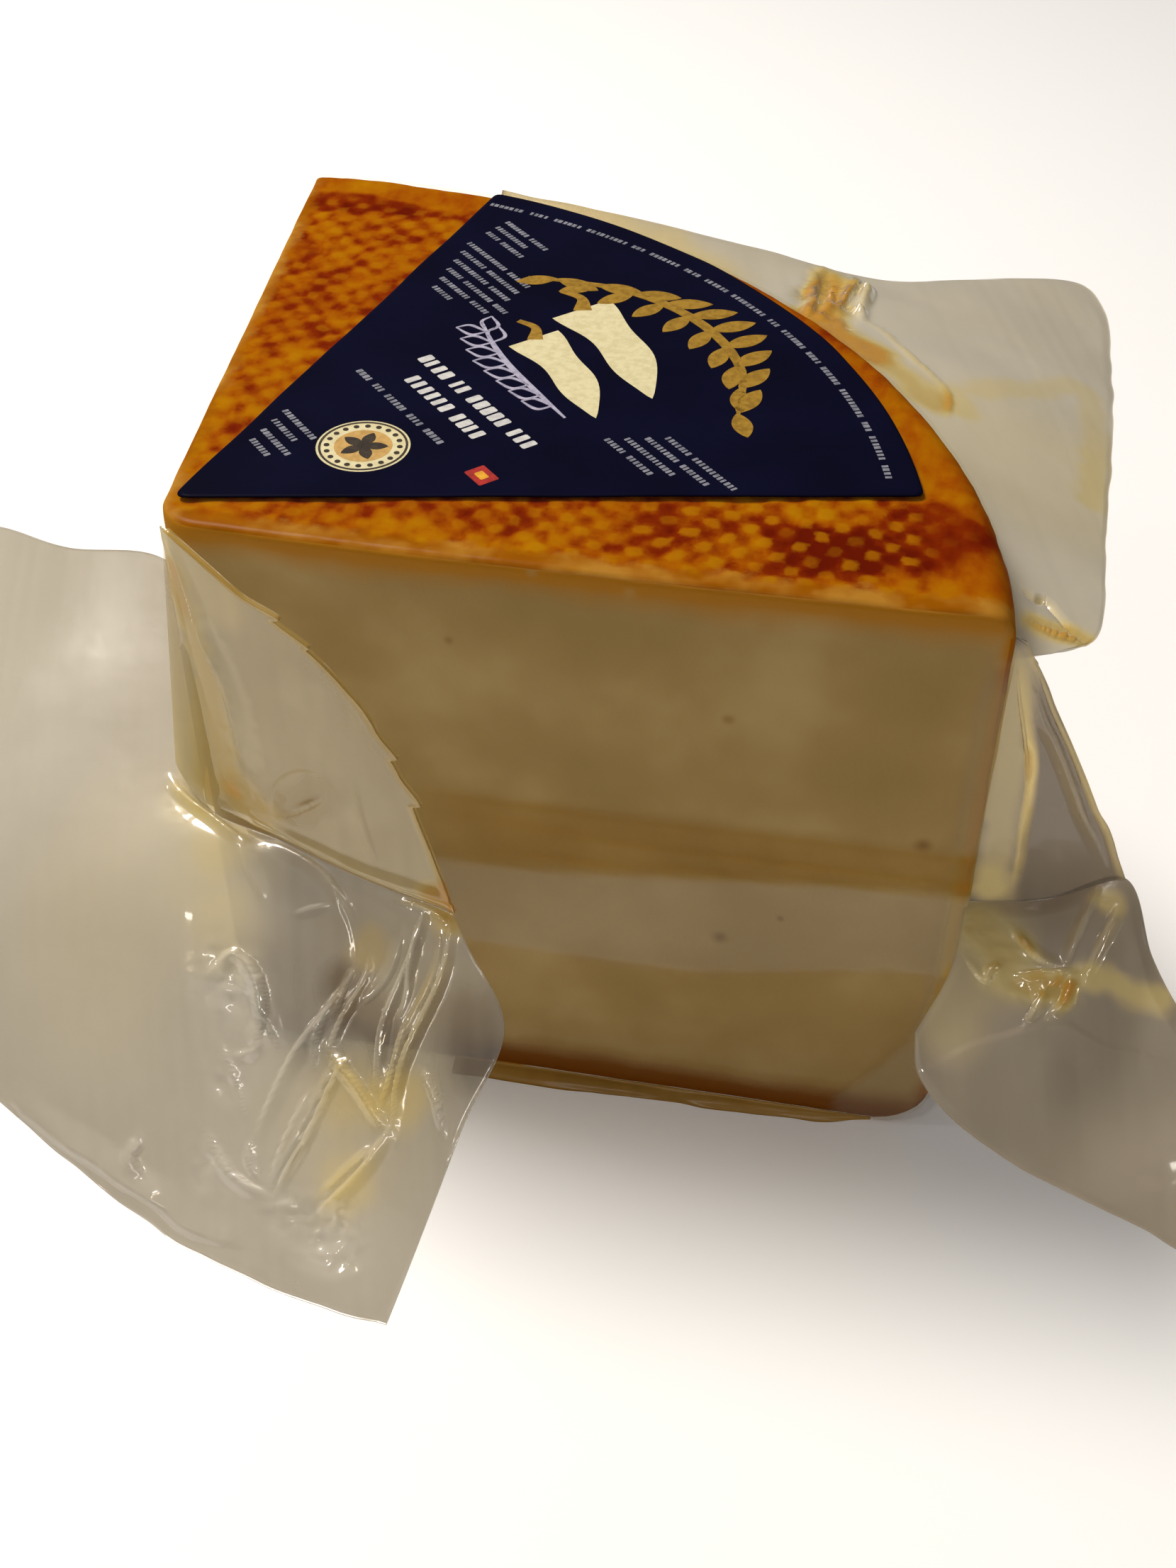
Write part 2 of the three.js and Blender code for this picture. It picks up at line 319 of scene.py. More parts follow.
def surface_facts(points):
    """Each point's distance in mm in from each cut, from the round side, and from the base and top."""
    inward = np.array([math.sin(WEDGE_ANGLE), -math.cos(WEDGE_ANGLE)])
    flat = points[:, :2]
    from_wheel = np.linalg.norm(flat + TIP_FROM_WHEEL_CENTRE, axis=1)
    return {
        "front": flat[:, 1],
        "left": flat @ inward,
        "round": WHEEL_RADIUS - from_wheel,
        "base": points[:, 2] - CHEESE_BASE,
        "top": CHEESE_TOP - points[:, 2],
    }


def front_bulge(points):
    """How far the pressed front cut stands proud along its length, most at the top."""
    along = np.clip(points[:, 0] / FRONT_END, 0, 1)
    near = fade(points[:, 1], 14, 0)
    return FRONT_BULGE * np.sin(along * math.pi) * near * fade(points[:, 2], 0, CHEESE_TOP)


# Cheese


# Heavier rubbings of paprika on the top: x and y of the middle in mm, reach along x and y, and amount
PAPRIKA_PATCHES = (
    (3, 79, 15, 3.4, 0.75),
    (10, 70, 8, 6, 0.4),
    (3, 46, 6, 5, 0.5),
    (11, 40, 6, 3, 0.45),
    (3, 20, 4, 5, 0.5),
    (24, 7, 15, 3.0, 0.45),
    (20, 78, 16, 4, 0.55),
    (60, 9, 10, 5.5, 0.55),
    (72, 10.5, 10, 8, 0.8),
    (81, 11, 7, 9, 0.78),
    (88, 14, 3, 8, 0.4),
)


def paprika_rubbed(points):
    """How heavily the paprika lies, from 0 to 1."""
    x, y = points[:, 0], points[:, 1]
    wander = rough(points, 7, 3, 51) * 0.5
    amount = 0.22 + 0.20 * rough(points, 14, 3, 55)
    for middle_x, middle_y, reach_x, reach_y, heavy in PAPRIKA_PATCHES:
        away = np.hypot((x - middle_x) / reach_x, (y - middle_y) / reach_y) + wander
        amount = np.maximum(amount, heavy * fade(away, 1.35, 0.45))
    return np.clip(amount, 0, 1)


def cheese_points():
    """The wedge with the cloth's weave pressed into its rind, and attributes for its materials."""
    counts = (14, 212, 180, 212, 4)
    cap = [[0, 1, 2.5, 5, 9, 14, 20, 27, 34], [*np.arange(0, 24, 0.43), *np.arange(25, 36, 3)]]
    low_steps = [0.12, 0.4, 0.9, 1.6, 2.6, 3.8, 5.2, 6.6, 8.0]
    high_steps = [0.1, 0.3, 0.6, 1.0, 1.5, 2.1, 2.8, 3.5]
    sides = (low_steps, high_steps, 1.55)
    points, normals, faces, facts = grown_wedge(CHEESE_GROWTH, counts, 0.8, cap, sides)
    up = np.abs(normals[:, 2])
    on_cut = (1 - fade(up, 0.45, 0.85)) * fade(facts["round"], 0.1, 0.5)
    rind = 1 - on_cut
    from_cut = np.minimum(facts["front"], facts["left"])

    # Threads run along the front cut and away from it, and wander by a fraction of a thread
    around = np.arctan2(points[:, 1] + TIP_FROM_WHEEL_CENTRE[1], points[:, 0] + TIP_FROM_WHEEL_CENTRE[0])
    wrapped = np.column_stack([around * WHEEL_RADIUS, points[:, 2]])
    cos, sin = math.cos(THREAD_TURN), math.sin(THREAD_TURN)
    flat = points[:, :2] @ np.array([[cos, sin], [-sin, cos]])
    threads = np.where((up > 0.6)[:, None], flat, wrapped)
    slow = np.column_stack([rough(points, 16, 2, 3), rough(points, 16, 2, 9)]) * THREAD_DRIFT
    quick = np.column_stack([noise(points, 3.1, 13), noise(points, 2.7, 17)]) * THREAD_JITTER
    threads = (threads + slow + quick) / THREAD_PITCH
    cells = np.floor(threads).astype(int)
    lucky = (LEVELS[SHUFFLE[(SHUFFLE[cells[:, 0] & 4095] + cells[:, 1]) & 4095]] + 1) / 2
    paprika = paprika_rubbed(points)
    clear_print = fade(points[:, 0], 30, 62) * fade(points[:, 1], 40, 20)
    pip = 0.35 + 0.65 * fade(lucky + 0.35 * rough(points, 7, 2, 61), -0.1, 0.6)
    pip = pip * (0.5 + 0.5 * clear_print)
    bump = np.prod(np.sin(np.pi * threads), axis=1)
    pressed = fade(from_cut, 0.3, 2.2) * (0.12 + 0.88 * fade(facts["round"], 6.5, 11.0))
    strength = rind * np.where(up > 0.6, pressed, 0.15)
    weave = (bump * (0.4 + 0.6 * pip) - 0.2) * WEAVE_HEIGHT
    lumps = rough(points, 9, 3, 33) * LUMP_HEIGHT * rind + rough(points, 2.2, 2, 37) * PIT_HEIGHT * rind
    wire_marks = noise(points * [0.12, 0.12, 1.0], 1.6, 41) * WIRE_MARK_HEIGHT
    wire_marks = wire_marks + rough(points, 7, 2, 43) * CUT_WAVE_HEIGHT
    relief = weave * strength + lumps + wire_marks * on_cut
    points = points + normals * np.minimum(relief, RELIEF_LIMIT)[:, None]
    points[:, 1] -= front_bulge(points)
    depth = np.minimum(facts["top"], facts["base"])
    depth = np.minimum(depth, facts["round"] * ROUND_BAND_THINNING) + CHEESE_GROWTH
    attributes = {
        "cut_face": on_cut,
        "rind_depth_mm": np.maximum(depth, 0),
        "threads": np.column_stack([threads, pip]),
        "weave_strength": strength,
        "paprika": paprika,
        "from_cut_mm": np.minimum(facts["front"], facts["left"] + 1.3),
        "from_round_mm": facts["round"],
    }
    return points, faces, attributes


# Film


def curve(*points):
    """Smooth curve through points, as a function of the share of its length."""
    points = np.array(points, float)
    padded = np.vstack([2 * points[0] - points[1], points, 2 * points[-1] - points[-2]])
    t = np.linspace(0, 1, 40, endpoint=False)[:, None]
    path = []
    for before, start, end, after in zip(padded, padded[1:], padded[2:], padded[3:]):
        # Square roots of the gaps keep the curve free of loops where the points are unevenly spaced
        pairs = ((before, start), (start, end), (end, after))
        gaps = [max(np.linalg.norm(b - a), 1e-6) ** 0.5 for a, b in pairs]
        leave = (start - before) / gaps[0] - (end - before) / (gaps[0] + gaps[1]) + (end - start) / gaps[1]
        arrive = (end - start) / gaps[1] - (after - start) / (gaps[1] + gaps[2]) + (after - end) / gaps[2]
        leave, arrive = leave * gaps[1], arrive * gaps[1]
        path.append(
            start
            + leave * t
            + (3 * (end - start) - 2 * leave - arrive) * t**2
            + (2 * (start - end) + leave + arrive) * t**3
        )
    path = np.vstack([*path, points[-1:]])
    lengths = np.concatenate([[0], np.cumsum(np.linalg.norm(np.diff(path, axis=0), axis=1))])
    shares = lengths / lengths[-1]
    return lambda share: np.stack([np.interp(share, shares, axis) for axis in path.T], -1)


def sheet_grid(edges, columns, rows, crowd):
    """Grid of a sheet stretched between four edge curves that share their corners."""
    u = np.linspace(0, 1, columns) ** crowd
    v = np.linspace(0, 1, rows)
    inner, outer, first, last = (curve(*edges[edge]) for edge in ("inner", "outer", "first", "last"))
    across = v[None, :, None]
    along = u[:, None, None]
    spread = inner(u)[:, None] * (1 - across) + outer(u)[:, None] * across
    spread = spread + first(v)[None] * (1 - along) + last(v)[None] * along
    corners = (inner(0.0) * (1 - along) + inner(1.0) * along) * (1 - across)
    corners = corners + (outer(0.0) * (1 - along) + outer(1.0) * along) * across
    return spread - corners


def distance_to_path(points, path, normals):
    """Distance in mm from points to a path of straight stretches, with the nearest place on it and side.

    The place is a share of the path's length, and the side is 1 to the left of it and -1 to its right.
    """
    best = np.full(points.shape[:-1], np.inf)
    place = np.zeros(points.shape[:-1])
    side = np.zeros(points.shape[:-1])
    lengths = np.linalg.norm(np.diff(path, axis=0), axis=1)
    begun = np.concatenate([[0], np.cumsum(lengths)])
    for start, end, length, so_far in zip(path, path[1:], lengths, begun):
        step = end - start
        t = np.clip(((points - start) @ step) / max(length**2, 1e-9), 0, 1)
        away = points - (start + t[..., None] * step)
        far = np.linalg.norm(away, axis=-1)
        nearer = far < best
        best = np.where(nearer, far, best)
        place = np.where(nearer, (so_far + t * length) / begun[-1], place)
        side = np.where(nearer, (np.cross(step, away) * normals).sum(-1) / max(length, 1e-9), side)
    return best, place, side


def path_on_sheet(grid, shares, crowd):
    """Points in mm of a smooth path given in thousandths of a sheet, whose columns are drawn together."""
    columns, rows, _ = grid.shape
    shares = np.array(shares) / 1000
    spots = curve(*shares)(np.linspace(0, 1, 16)) if len(shares) > 1 else shares
    spots = np.clip(spots, 0, 1) ** [1 / crowd, 1] * [columns - 1, rows - 1]
    low = np.minimum(spots.astype(int), [columns - 2, rows - 2])
    part = spots - low
    mix = 0
    for i, j in ((0, 0), (0, 1), (1, 0), (1, 1)):
        weight = np.abs(1 - i - part[:, 0]) * np.abs(1 - j - part[:, 1])
        mix = mix + grid[low[:, 0] + i, low[:, 1] + j] * weight[:, None]
    apart = np.concatenate([[True], np.linalg.norm(np.diff(mix, axis=0), axis=1) > 0.05])
    return mix[apart]


def crease_fields(grid, normals, creases, crowd):
    """Height, whiteness and oiliness that the creases add over a sheet's grid. The whiteness along each ridge
    is partly stress whitening and partly a painted highlight.

    A crease is a fold: steep and narrow on one side, and broad on the other, and oil is caught along it.
    """
    height = np.zeros(grid.shape[:2])
    white = np.zeros(grid.shape[:2])
    oil = np.zeros(grid.shape[:2])
    for i, (shares, half_width, rise, caught) in enumerate(creases):
        far, place, side = distance_to_path(grid, path_on_sheet(grid, shares, crowd), normals)
        wander = noise(grid, 5.0, 401 + i) * 0.18 + noise(grid, 1.2, 431 + i) * 0.04
        across = np.where(far < 8, side, np.sign(side) * far) + wander
        far = np.maximum(far, np.abs(across))
        steep_side = 1 if i % 2 else -1
        reach = np.where(across * steep_side > 0, 0.35, 1.5) * half_width
        uneven = 0.75 + 0.35 * noise(grid, 4.0, 461 + i)
        taper = np.sin(np.clip(place, 0.02, 0.98) * math.pi) ** 0.6 * uneven
        flank = np.clip(1 - far / reach, 0, 1)
        flank = 0.35 * flank + 0.65 * flank**2 * (3 - 2 * flank)
        ridge = np.clip(1 - np.abs(far) / 0.3, 0, 1)
        height += taper * rise * (1.3 * flank + 0.12 * ridge)
        # A thin line of whiteness along the ridge: partly stress whitening, partly a painted highlight line
        white = np.maximum(white, ridge * np.clip(taper * abs(rise) * 1.4 / half_width, 0, 1))
        oil = np.maximum(oil, caught * flank**0.5 * taper)
    return height, white, oil


# Distance in mm between a loose sheet's two plies
PLY_GAP = 0.35

# A loose sheet is stretched between four edge curves in mm that share their corners: inner along the wedge,
# outer, and first and last across. Its grid has columns along it and rows across. haze and oiled are its
# cloudiness and oil all over, crumple and swell the heights in mm of its crumples and broad waves, bead the
# thickness in mm of a rolled outer edge, and crowd above 1 draws its columns together towards its start.
# A crease is its path, half width, rise and oil. A patch is a place or path, its radius, and the haze, oil
# and crumpling that it adds. Both are placed in thousandths of the sheet's length and width, and sized in mm.
# A nick is a share of the outer edge's length and how far the edge steps back there in mm
PLAIN_SHEET = {
    "oiled": 0.0, "swell": 1.2, "bead": 0.0, "crowd": 1.0,
    "creases": (), "patches": (), "nicks": (),
}


def film_sheet(sheet):
    """Two plies of loose film as one closed sheet, with its creases and finer crumpling."""
    sheet = {**PLAIN_SHEET, **sheet}
    sizes = (sheet[key] for key in ("columns", "rows", "seed", "crowd", "bead"))
    columns, rows, seed, crowd, bead = sizes
    grid = sheet_grid(sheet, columns, rows, crowd)
    normal = grid_normals(grid)
    toward = 1 if (normal * [0, -0.6, 0.8]).sum(-1).mean() > 0 else -1
    normal = normal * toward
    u = np.linspace(0, 1, columns)[:, None] ** crowd
    v = np.linspace(0, 1, rows)[None, :]
    outward = np.gradient(grid, axis=1)
    outward /= np.maximum(np.linalg.norm(outward, axis=-1, keepdims=True), 1e-9)
    step = np.zeros_like(u)
    for place, back in sheet["nicks"]:
        step = step + back * fade(u, place - 0.07, place) * (u < place)
    length = np.linalg.norm(np.diff(grid[:, -1], axis=0), axis=1).sum()
    step = step + 0.25 * noise(np.concatenate([u * length, 0 * u], 1), 5.0, seed + 2)[:, None]
    grid = grid + outward * (step * v**6)[..., None]

    # The middle of the sheet: broad waves, creases, crumples where it is crushed, and a fine crinkle
    height, white, oil = crease_fields(grid, normal, sheet["creases"], crowd)
    extra = np.zeros((3, columns, rows))
    for places, radius, *amounts in sheet["patches"]:
        path = path_on_sheet(grid, np.atleast_2d(places), crowd)
        far = np.linalg.norm(grid - path[0], axis=-1)
        if len(path) > 1:
            far, _, _ = distance_to_path(grid, path, normal)
        near = fade(far + 0.25 * radius * noise(grid, radius * 0.8, seed + 3), radius * 1.3, radius * 0.3)
        extra += np.array(amounts)[:, None, None] * near
    more_haze, more_oil, crushed = extra
    free = fade(v, 0, 0.12) * np.ones_like(u)
    broad = rough(grid, 34, 2, seed) * sheet["swell"] * free
    folds = (ridged(grid, 11, 3, seed + 5) - 0.5) * (sheet["crumple"] + 1.2 * crushed) * free
    crinkle = (ridged(grid, 2.6, 3, seed + 9) - 0.5) * 0.5 * crushed
    crinkle = crinkle + rough(grid, 1.8, 2, seed + 13) * 0.006
    middle = grid + normal * (broad + height + folds + crinkle)[..., None]

    # The plies lie closer at the rim, where they are sealed, unless the outer edge is rolled
    from_side = np.minimum(v, 1 - v) * rows
    from_end = np.minimum(np.linspace(0, 1, columns)[:, None], 1 - u) * columns
    rim = np.minimum(from_side, from_end) / 6
    gap = PLY_GAP * (0.3 + 0.7 * fade(rim, 0, 1)) * (1 + 0.8 * rough(grid, 12, 2, seed + 17))
    width = np.linalg.norm(grid[:, -1:] - grid[:, :1], axis=-1)
    roll = fade((1 - v) * width, 1.1, 0.2) * np.ones_like(u)
    gap = np.maximum(gap, 0.12) + bead * roll
    lift = grid_normals(middle) * toward * gap[..., None] / 2
    upper, lower = middle + lift, middle - lift
    uneven = (ridged(grid, 7, 3, seed + 21) - 0.5) * (0.08 + 0.4 * crushed) * fade(rim, 0, 1)
    lower = lower + normal * np.minimum(uneven, 0.5 * gap)[..., None]
    points, faces = close_plies(upper, lower, toward < 0)

    # Cloudy haze with faint lines along which the film was drawn, whiter at the sealed edge
    clouds = 0.5 + 0.5 * rough(grid, 25, 3, seed + 31)
    drawn = noise(grid @ np.array([[1, 0], [0.25, 0], [0, 0.12]]), 1.3, seed + 37)
    # The creases' whiteness, partly stress whitening and partly painted highlight, goes into the haze
    milky = sheet["haze"] * (0.7 + 0.6 * clouds + 0.07 * drawn) + 0.45 * white + more_haze
    milky = milky + 0.25 * roll * bead + 0.10 * fade((1 - v) * rows + 0 * u, 2.5, 0)
    oil = sheet["oiled"] + oil + more_oil + 0.6 * roll * bead
    per_point = {"milky": np.clip(milky, 0, 0.9), "oiled": np.clip(oil, 0, 1)}
    attributes = {title: np.concatenate([values.ravel()] * 2) for title, values in per_point.items()}
    return points, faces, attributes


def close_plies(upper, lower, flip=False):
    """Points and faces of a thin closed sheet between two grids of the same size."""
    columns, rows, _ = upper.shape
    count = columns * rows
    faces = [*grid_faces(columns, rows).tolist(), *grid_faces(columns, rows, count, flip=True).tolist()]
    index = np.arange(count).reshape(columns, rows)
    rim = np.concatenate([index[:-1, 0], index[-1, :-1], index[:0:-1, -1], index[0, :0:-1]])
    for here, after in zip(rim, np.roll(rim, -1)):
        faces.append([after, here, here + count, after + count])
    faces = [face[::-1] for face in faces] if flip else faces
    return np.vstack([upper.reshape(-1, 3), lower.reshape(-1, 3)]), faces


# Loose sheets start this far in mm off the cheese, under the tight film
ROOT_DEPTH = 0.1

LEFT_CREASE = [[0.2, -ROOT_DEPTH, SEAM_HEIGHT], [11, -4, 41.2], [22, -7.4, 40], [33.4, -9.1, 38]]
LEFT_SIDE = [-1.9, 20, 57]
LEFT_FRONT = [33.2, -46.8, 8]
LEFT_BACK = [-63, 50, 44]
LEFT_EAR = {
    "inner": [*LEFT_CREASE[::-1], [-0.8, 7, 47], LEFT_SIDE],
    "outer": [
        LEFT_FRONT, [16.7, -43, 6], [-1.5, -36.3, 6], [-20.4, -28.6, 14],
        [-44, -20, 24], [-60, 6, 35], LEFT_BACK,
    ],
    "first": [LEFT_CREASE[-1], [36.5, -13.1, 36], [41.8, -19.4, 31], [38.7, -28.7, 23], LEFT_FRONT],
    "last": [LEFT_SIDE, [-14.2, 28.6, 57], [-28, 32, 54], [-42.9, 40.6, 50], LEFT_BACK],
    "columns": 312, "rows": 146, "seed": 50,
    "haze": 0.31, "crumple": 0.05, "swell": 0.9, "crowd": 1.35,
    "creases": [
        ([(30, 71), (101, 313), (69, 564)], 0.9, 1.1, 0.3),
        ([(50, 92), (110, 319), (80, 526)], 0.6, 0.5, 0.3),
        ([(81, 58), (145, 305), (103, 499)], 0.9, 1.1, 0.0),
        ([(126, 123), (155, 257), (175, 353)], 1.0, 0.6, 0.0),
        ([(189, 251), (186, 374), (172, 457)], 0.7, 0.9, 0.1),
        ([(205, 284), (202, 338), (194, 386)], 0.6, 0.6, 0.1),
        ([(207, 296), (202, 443), (182, 693)], 1.4, 1.1, 0.0),
        ([(202, 386), (194, 436), (171, 509)], 0.6, 0.7, 0.0),
        ([(149, 468), (139, 622), (135, 800)], 0.8, 1.0, 0.1),
        ([(155, 476), (145, 635), (141, 795)], 0.6, 0.6, 0.0),
        ([(160, 574), (155, 660), (146, 772)], 1.0, 0.7, 0.0),
        ([(172, 457), (122, 505), (69, 582)], 1.2, 0.9, 0.3),
        ([(69, 582), (76, 697), (96, 820)], 1.2, 1.0, 0.25),
        ([(72, 628), (86, 706), (97, 781)], 0.8, 0.7, 0.25),
        ([(116, 357), (99, 445), (87, 539)], 0.6, 0.8, 0.2),
        ([(68, 432), (39, 486), (14, 557)], 0.6, 0.8, 0.0),
        ([(93, 84), (128, 238), (128, 347)], 0.6, 0.6, 0.0),
        ([(331, 434), (331, 384), (295, 395), (255, 457), (231, 539)], 1.4, 1.3, 0.0),
        ([(308, 428), (257, 457), (207, 516)], 1.0, 0.4, 0.0),
        ([(257, 582), (229, 618), (201, 676)], 0.8, 0.4, 0.0),
        ([(241, 470), (234, 541), (251, 585)], 1.0, 0.4, 0.0),
        ([(624, 94), (553, 31), (445, 67)], 0.9, 1.1, 0.3),
        ([(456, 42), (390, 192), (349, 259)], 1.2, 0.25, 0.0),
        ([(404, 19), (299, 33), (253, 58), (218, 98)], 1.1, 0.5, 0.1),
        ([(253, 58), (222, 177), (205, 284)], 0.9, -0.3, 0.0),
        ([(305, 234), (279, 177), (254, 136)], 0.8, 0.3, 0.0),
        ([(115, 27), (59, 21), (23, 35)], 0.8, 0.6, 0.4),
        ([(565, 79), (404, 380), (240, 693)], 4.0, 0.12, 0.0),
        ([(340, 985), (304, 975), (265, 962), (220, 952), (180, 960), (150, 950)], 2.4, 1.2, 0.0),
        ([(178, 724), (170, 762), (156, 785)], 0.8, 0.7, 0.0),
        ([(126, 818), (172, 808), (221, 752)], 1.2, 0.6, 0.0),
        ([(257, 856), (251, 902), (237, 916)], 1.2, 0.9, 0.0),
    ],
    "patches": [
        ((120, 260), 12.0, 0.12, 0.1, 0.0),
        ((100, 600), 12.0, 0.06, 0.1, 0.0),
        ([(210, 320), (120, 400)], 3.5, -0.2, 0.0, 0.0),
        ((40, 340), 7.0, -0.22, 0.0, 0.0),
        ((280, 350), 6.0, -0.06, 0.0, 0.0),
        ((70, 510), 4.0, 0.08, 0.3, 0.0),
        ((120, 540), 4.5, 0.0, 0.2, 0.0),
        ((80, 730), 4.0, 0.04, 0.2, 0.0),
        ((10, 20), 3.0, 0.12, 0.6, 0.0),
        ((190, 220), 3.0, 0.05, 0.25, 0.0),
        ((310, 430), 5.0, 0.22, 0.0, 0.5),
        ((270, 500), 5.0, 0.08, 0.0, 0.2),
        ((120, 820), 3.5, 0.10, 0.0, 0.8),
        ((80, 830), 5.0, 0.10, 0.0, 0.9),
        ((50, 860), 7.0, 0.12, 0.0, 0.0),
        ((480, 350), 14.0, 0.2, 0.08, 0.0),
        ((400, 640), 12.0, 0.16, 0.06, 0.0),
        ((410, 260), 7.0, 0.12, 0.1, 0.0),
        ((480, 90), 5.0, 0.12, 0.2, 0.0),
        ((360, 350), 6.0, 0.08, 0.1, 0.0),
        ((590, 40), 4.0, 0.12, 0.2, 0.2),
        ((230, 620), 4.0, 0.06, 0.0, 0.3),
        ((190, 820), 4.5, 0.1, 0.0, 0.5),
    ],
}
TIP_TOP = [0.6, -ROOT_DEPTH, CHEESE_TOP - 0.4]
TIP_TOP_FOLD = [2, -1.2, CHEESE_TOP]
LEFT_RIDGE = [TIP_TOP_FOLD, [8.7, -3.2, 79], [21.2, -4.6, 67], [27.6, -5.6, 54], LEFT_CREASE[-1]]
LEFT_PLEAT = {
    "inner": [TIP_TOP, LEFT_CREASE[0]],
    "outer": LEFT_RIDGE,
    "first": [TIP_TOP, TIP_TOP_FOLD],
    "last": LEFT_CREASE,
    "columns": 150, "rows": 110, "seed": 90,
    "haze": 0.34, "oiled": 0.33, "crumple": 0.06, "swell": 0.5, "bead": 0.6,
    "creases": [
        ([(41, 311), (176, 293), (308, 231), (499, 251), (757, 221)], 1.2, 0.8, 0.0),
        ([(930, 300), (830, 350), (750, 470), (720, 600)], 1.4, -0.25, 0.0),
        ([(908, 366), (853, 474), (798, 584)], 0.8, 0.5, 0.0),
        ([(740, 760), (850, 740), (930, 740)], 1.5, 0.4, 0.0),
        ([(970, 240), (980, 570), (980, 840), (980, 990)], 1.2, 0.7, 0.1),
    ],
    "patches": [
        ([(140, 120), (202, 147), (457, 154), (675, 135), (890, 120)], 2.2, 0.28, 0.3, 0.0),
        ([(120, 120), (260, 150)], 1.6, 0.1, 0.15, 0.0),
        ([(60, 450), (200, 600)], 5.0, 0.15, 0.1, 0.0),
        ([(308, 300), (499, 320), (757, 290)], 1.4, 0.14, 0.0, 0.0),
        ([(511, 745), (641, 730), (794, 740)], 4.5, 0.1, 0.0, 0.0),
        ([(860, 420), (780, 600)], 3.2, -0.12, 0.0, 0.0),
        ((920, 200), 4.0, 0.15, 0.3, 0.3),
        ((980, 960), 3.0, 0.12, 0.5, 0.2),
    ],
    "nicks": [(0.25, 1.2), (0.34, 0.7), (0.63, 1.0), (0.74, 1.1)],
}
RIGHT_CREASE = [[FRONT_END + ROOT_DEPTH, 0.4, SEAM_HEIGHT], [102, 2.2, 42.5], [110.5, 3.5, 46]]
END_TOP = [FRONT_END - 0.5, 0.6, CHEESE_TOP - 2.4]
END_TOP_FOLD = [FRONT_END + 1.6, 0.8, CHEESE_TOP - 3.4]
RIGHT_RIDGE = [END_TOP_FOLD, [102.7, 2.6, 63], RIGHT_CREASE[-1]]
RIGHT_PLEAT = {
    "inner": [END_TOP, RIGHT_CREASE[0]],
    "outer": RIGHT_RIDGE,
    "first": [END_TOP, END_TOP_FOLD],
    "last": RIGHT_CREASE,
    "columns": 110, "rows": 80, "seed": 130,
    "haze": 0.14, "crumple": 0.05, "swell": 0.4, "bead": 0.3,
    "creases": [
        ([(126, 386), (413, 448), (713, 344), (936, 290)], 0.9, 0.4, 0.7),
        ([(190, 700), (420, 820), (670, 870), (910, 910)], 1.0, 0.6, 0.1),
        ([(90, 930), (380, 970), (670, 970), (960, 970)], 0.7, 0.4, 0.3),
    ],
    "patches": [
        ([(100, 200), (410, 220), (710, 170), (930, 150)], 2.6, 0.42, 0.3, 0.0),
        ([(900, 120), (980, 200)], 2.4, 0.1, 0.2, 0.2),
    ],
}
RIGHT_NEAR = [88.6, -15.1, 35]
RIGHT_FAR = [134, -23, 25]
RIGHT_TIP = [135.5, -31, 15]
RIGHT_EAR = {
    "inner": [*RIGHT_CREASE, [114.4, -3, 40.5], [117.4, -7.5, 38], [123.1, -13.5, 34], RIGHT_FAR],
    "outer": [
        RIGHT_NEAR, [89.4, -18.5, 32.6], [93.5, -22.1, 30],
        [102, -24.6, 26], [120.3, -27.5, 20], RIGHT_TIP,
    ],
    "first": [RIGHT_CREASE[0], [91.8, -8, 38.5], RIGHT_NEAR],
    "last": [RIGHT_FAR, RIGHT_TIP],
    "columns": 200, "rows": 130, "seed": 170,
    "haze": 0.42, "crumple": 0.04,
    "creases": [
        ([(116, 178), (165, 266), (220, 328), (256, 343)], 0.9, 0.9, 0.4),
        ([(272, 48), (273, 108), (268, 195), (263, 333)], 0.8, 1.0, 0.2),
        ([(318, 93), (312, 185), (308, 273), (303, 361)], 0.8, 1.0, 0.3),
        ([(166, 363), (233, 353), (278, 356)], 0.8, 0.9, 0.4),
        ([(239, 434), (233, 496), (226, 551)], 0.7, 1.3, 0.3),
        ([(270, 366), (260, 393), (245, 424)], 0.7, 1.0, 0.5),
        ([(278, 378), (285, 426), (282, 471), (272, 509)], 0.9, 1.1, 0.8),
        ([(119, 351), (103, 396), (107, 454)], 0.7, 0.7, 0.2),
        ([(36, 391), (77, 436), (107, 454)], 0.7, 0.3, 0.2),
        ([(100, 910), (170, 680), (270, 560), (400, 490), (520, 330)], 2.5, 0.3, 0.0),
    ],
    "patches": [
        ([(41, 213), (122, 318), (190, 406)], 3.6, 0.22, 0.4, 0.3),
        ([(290, 381), (402, 261), (526, 73)], 1.9, 0.2, 0.45, 0.0),
        ((272, 440), 2.2, 0.05, 0.6, 0.6),
        ((200, 430), 2.2, 0.1, 0.3, 0.5),
        ((295, 95), 2.0, 0.15, 0.4, 0.3),
        ([(15, 10), (95, 270), (65, 610), (80, 700)], 5.0, 0.2, 0.2, 0.0),
        ((440, 520), 9.0, -0.06, 0.0, 0.0),
        ([(600, 750), (800, 900)], 12.0, 0.3, 0.0, 0.0),
    ],
}


def on_round_side(degrees, height):
    """Point on the round side at an angle round the wheel, in degrees."""
    angle = math.radians(degrees)
    radius = WHEEL_RADIUS + ROOT_DEPTH
    x, y = radius * np.array([math.cos(angle), math.sin(angle)]) - TIP_FROM_WHEEL_CENTRE
    return [x, y, height]


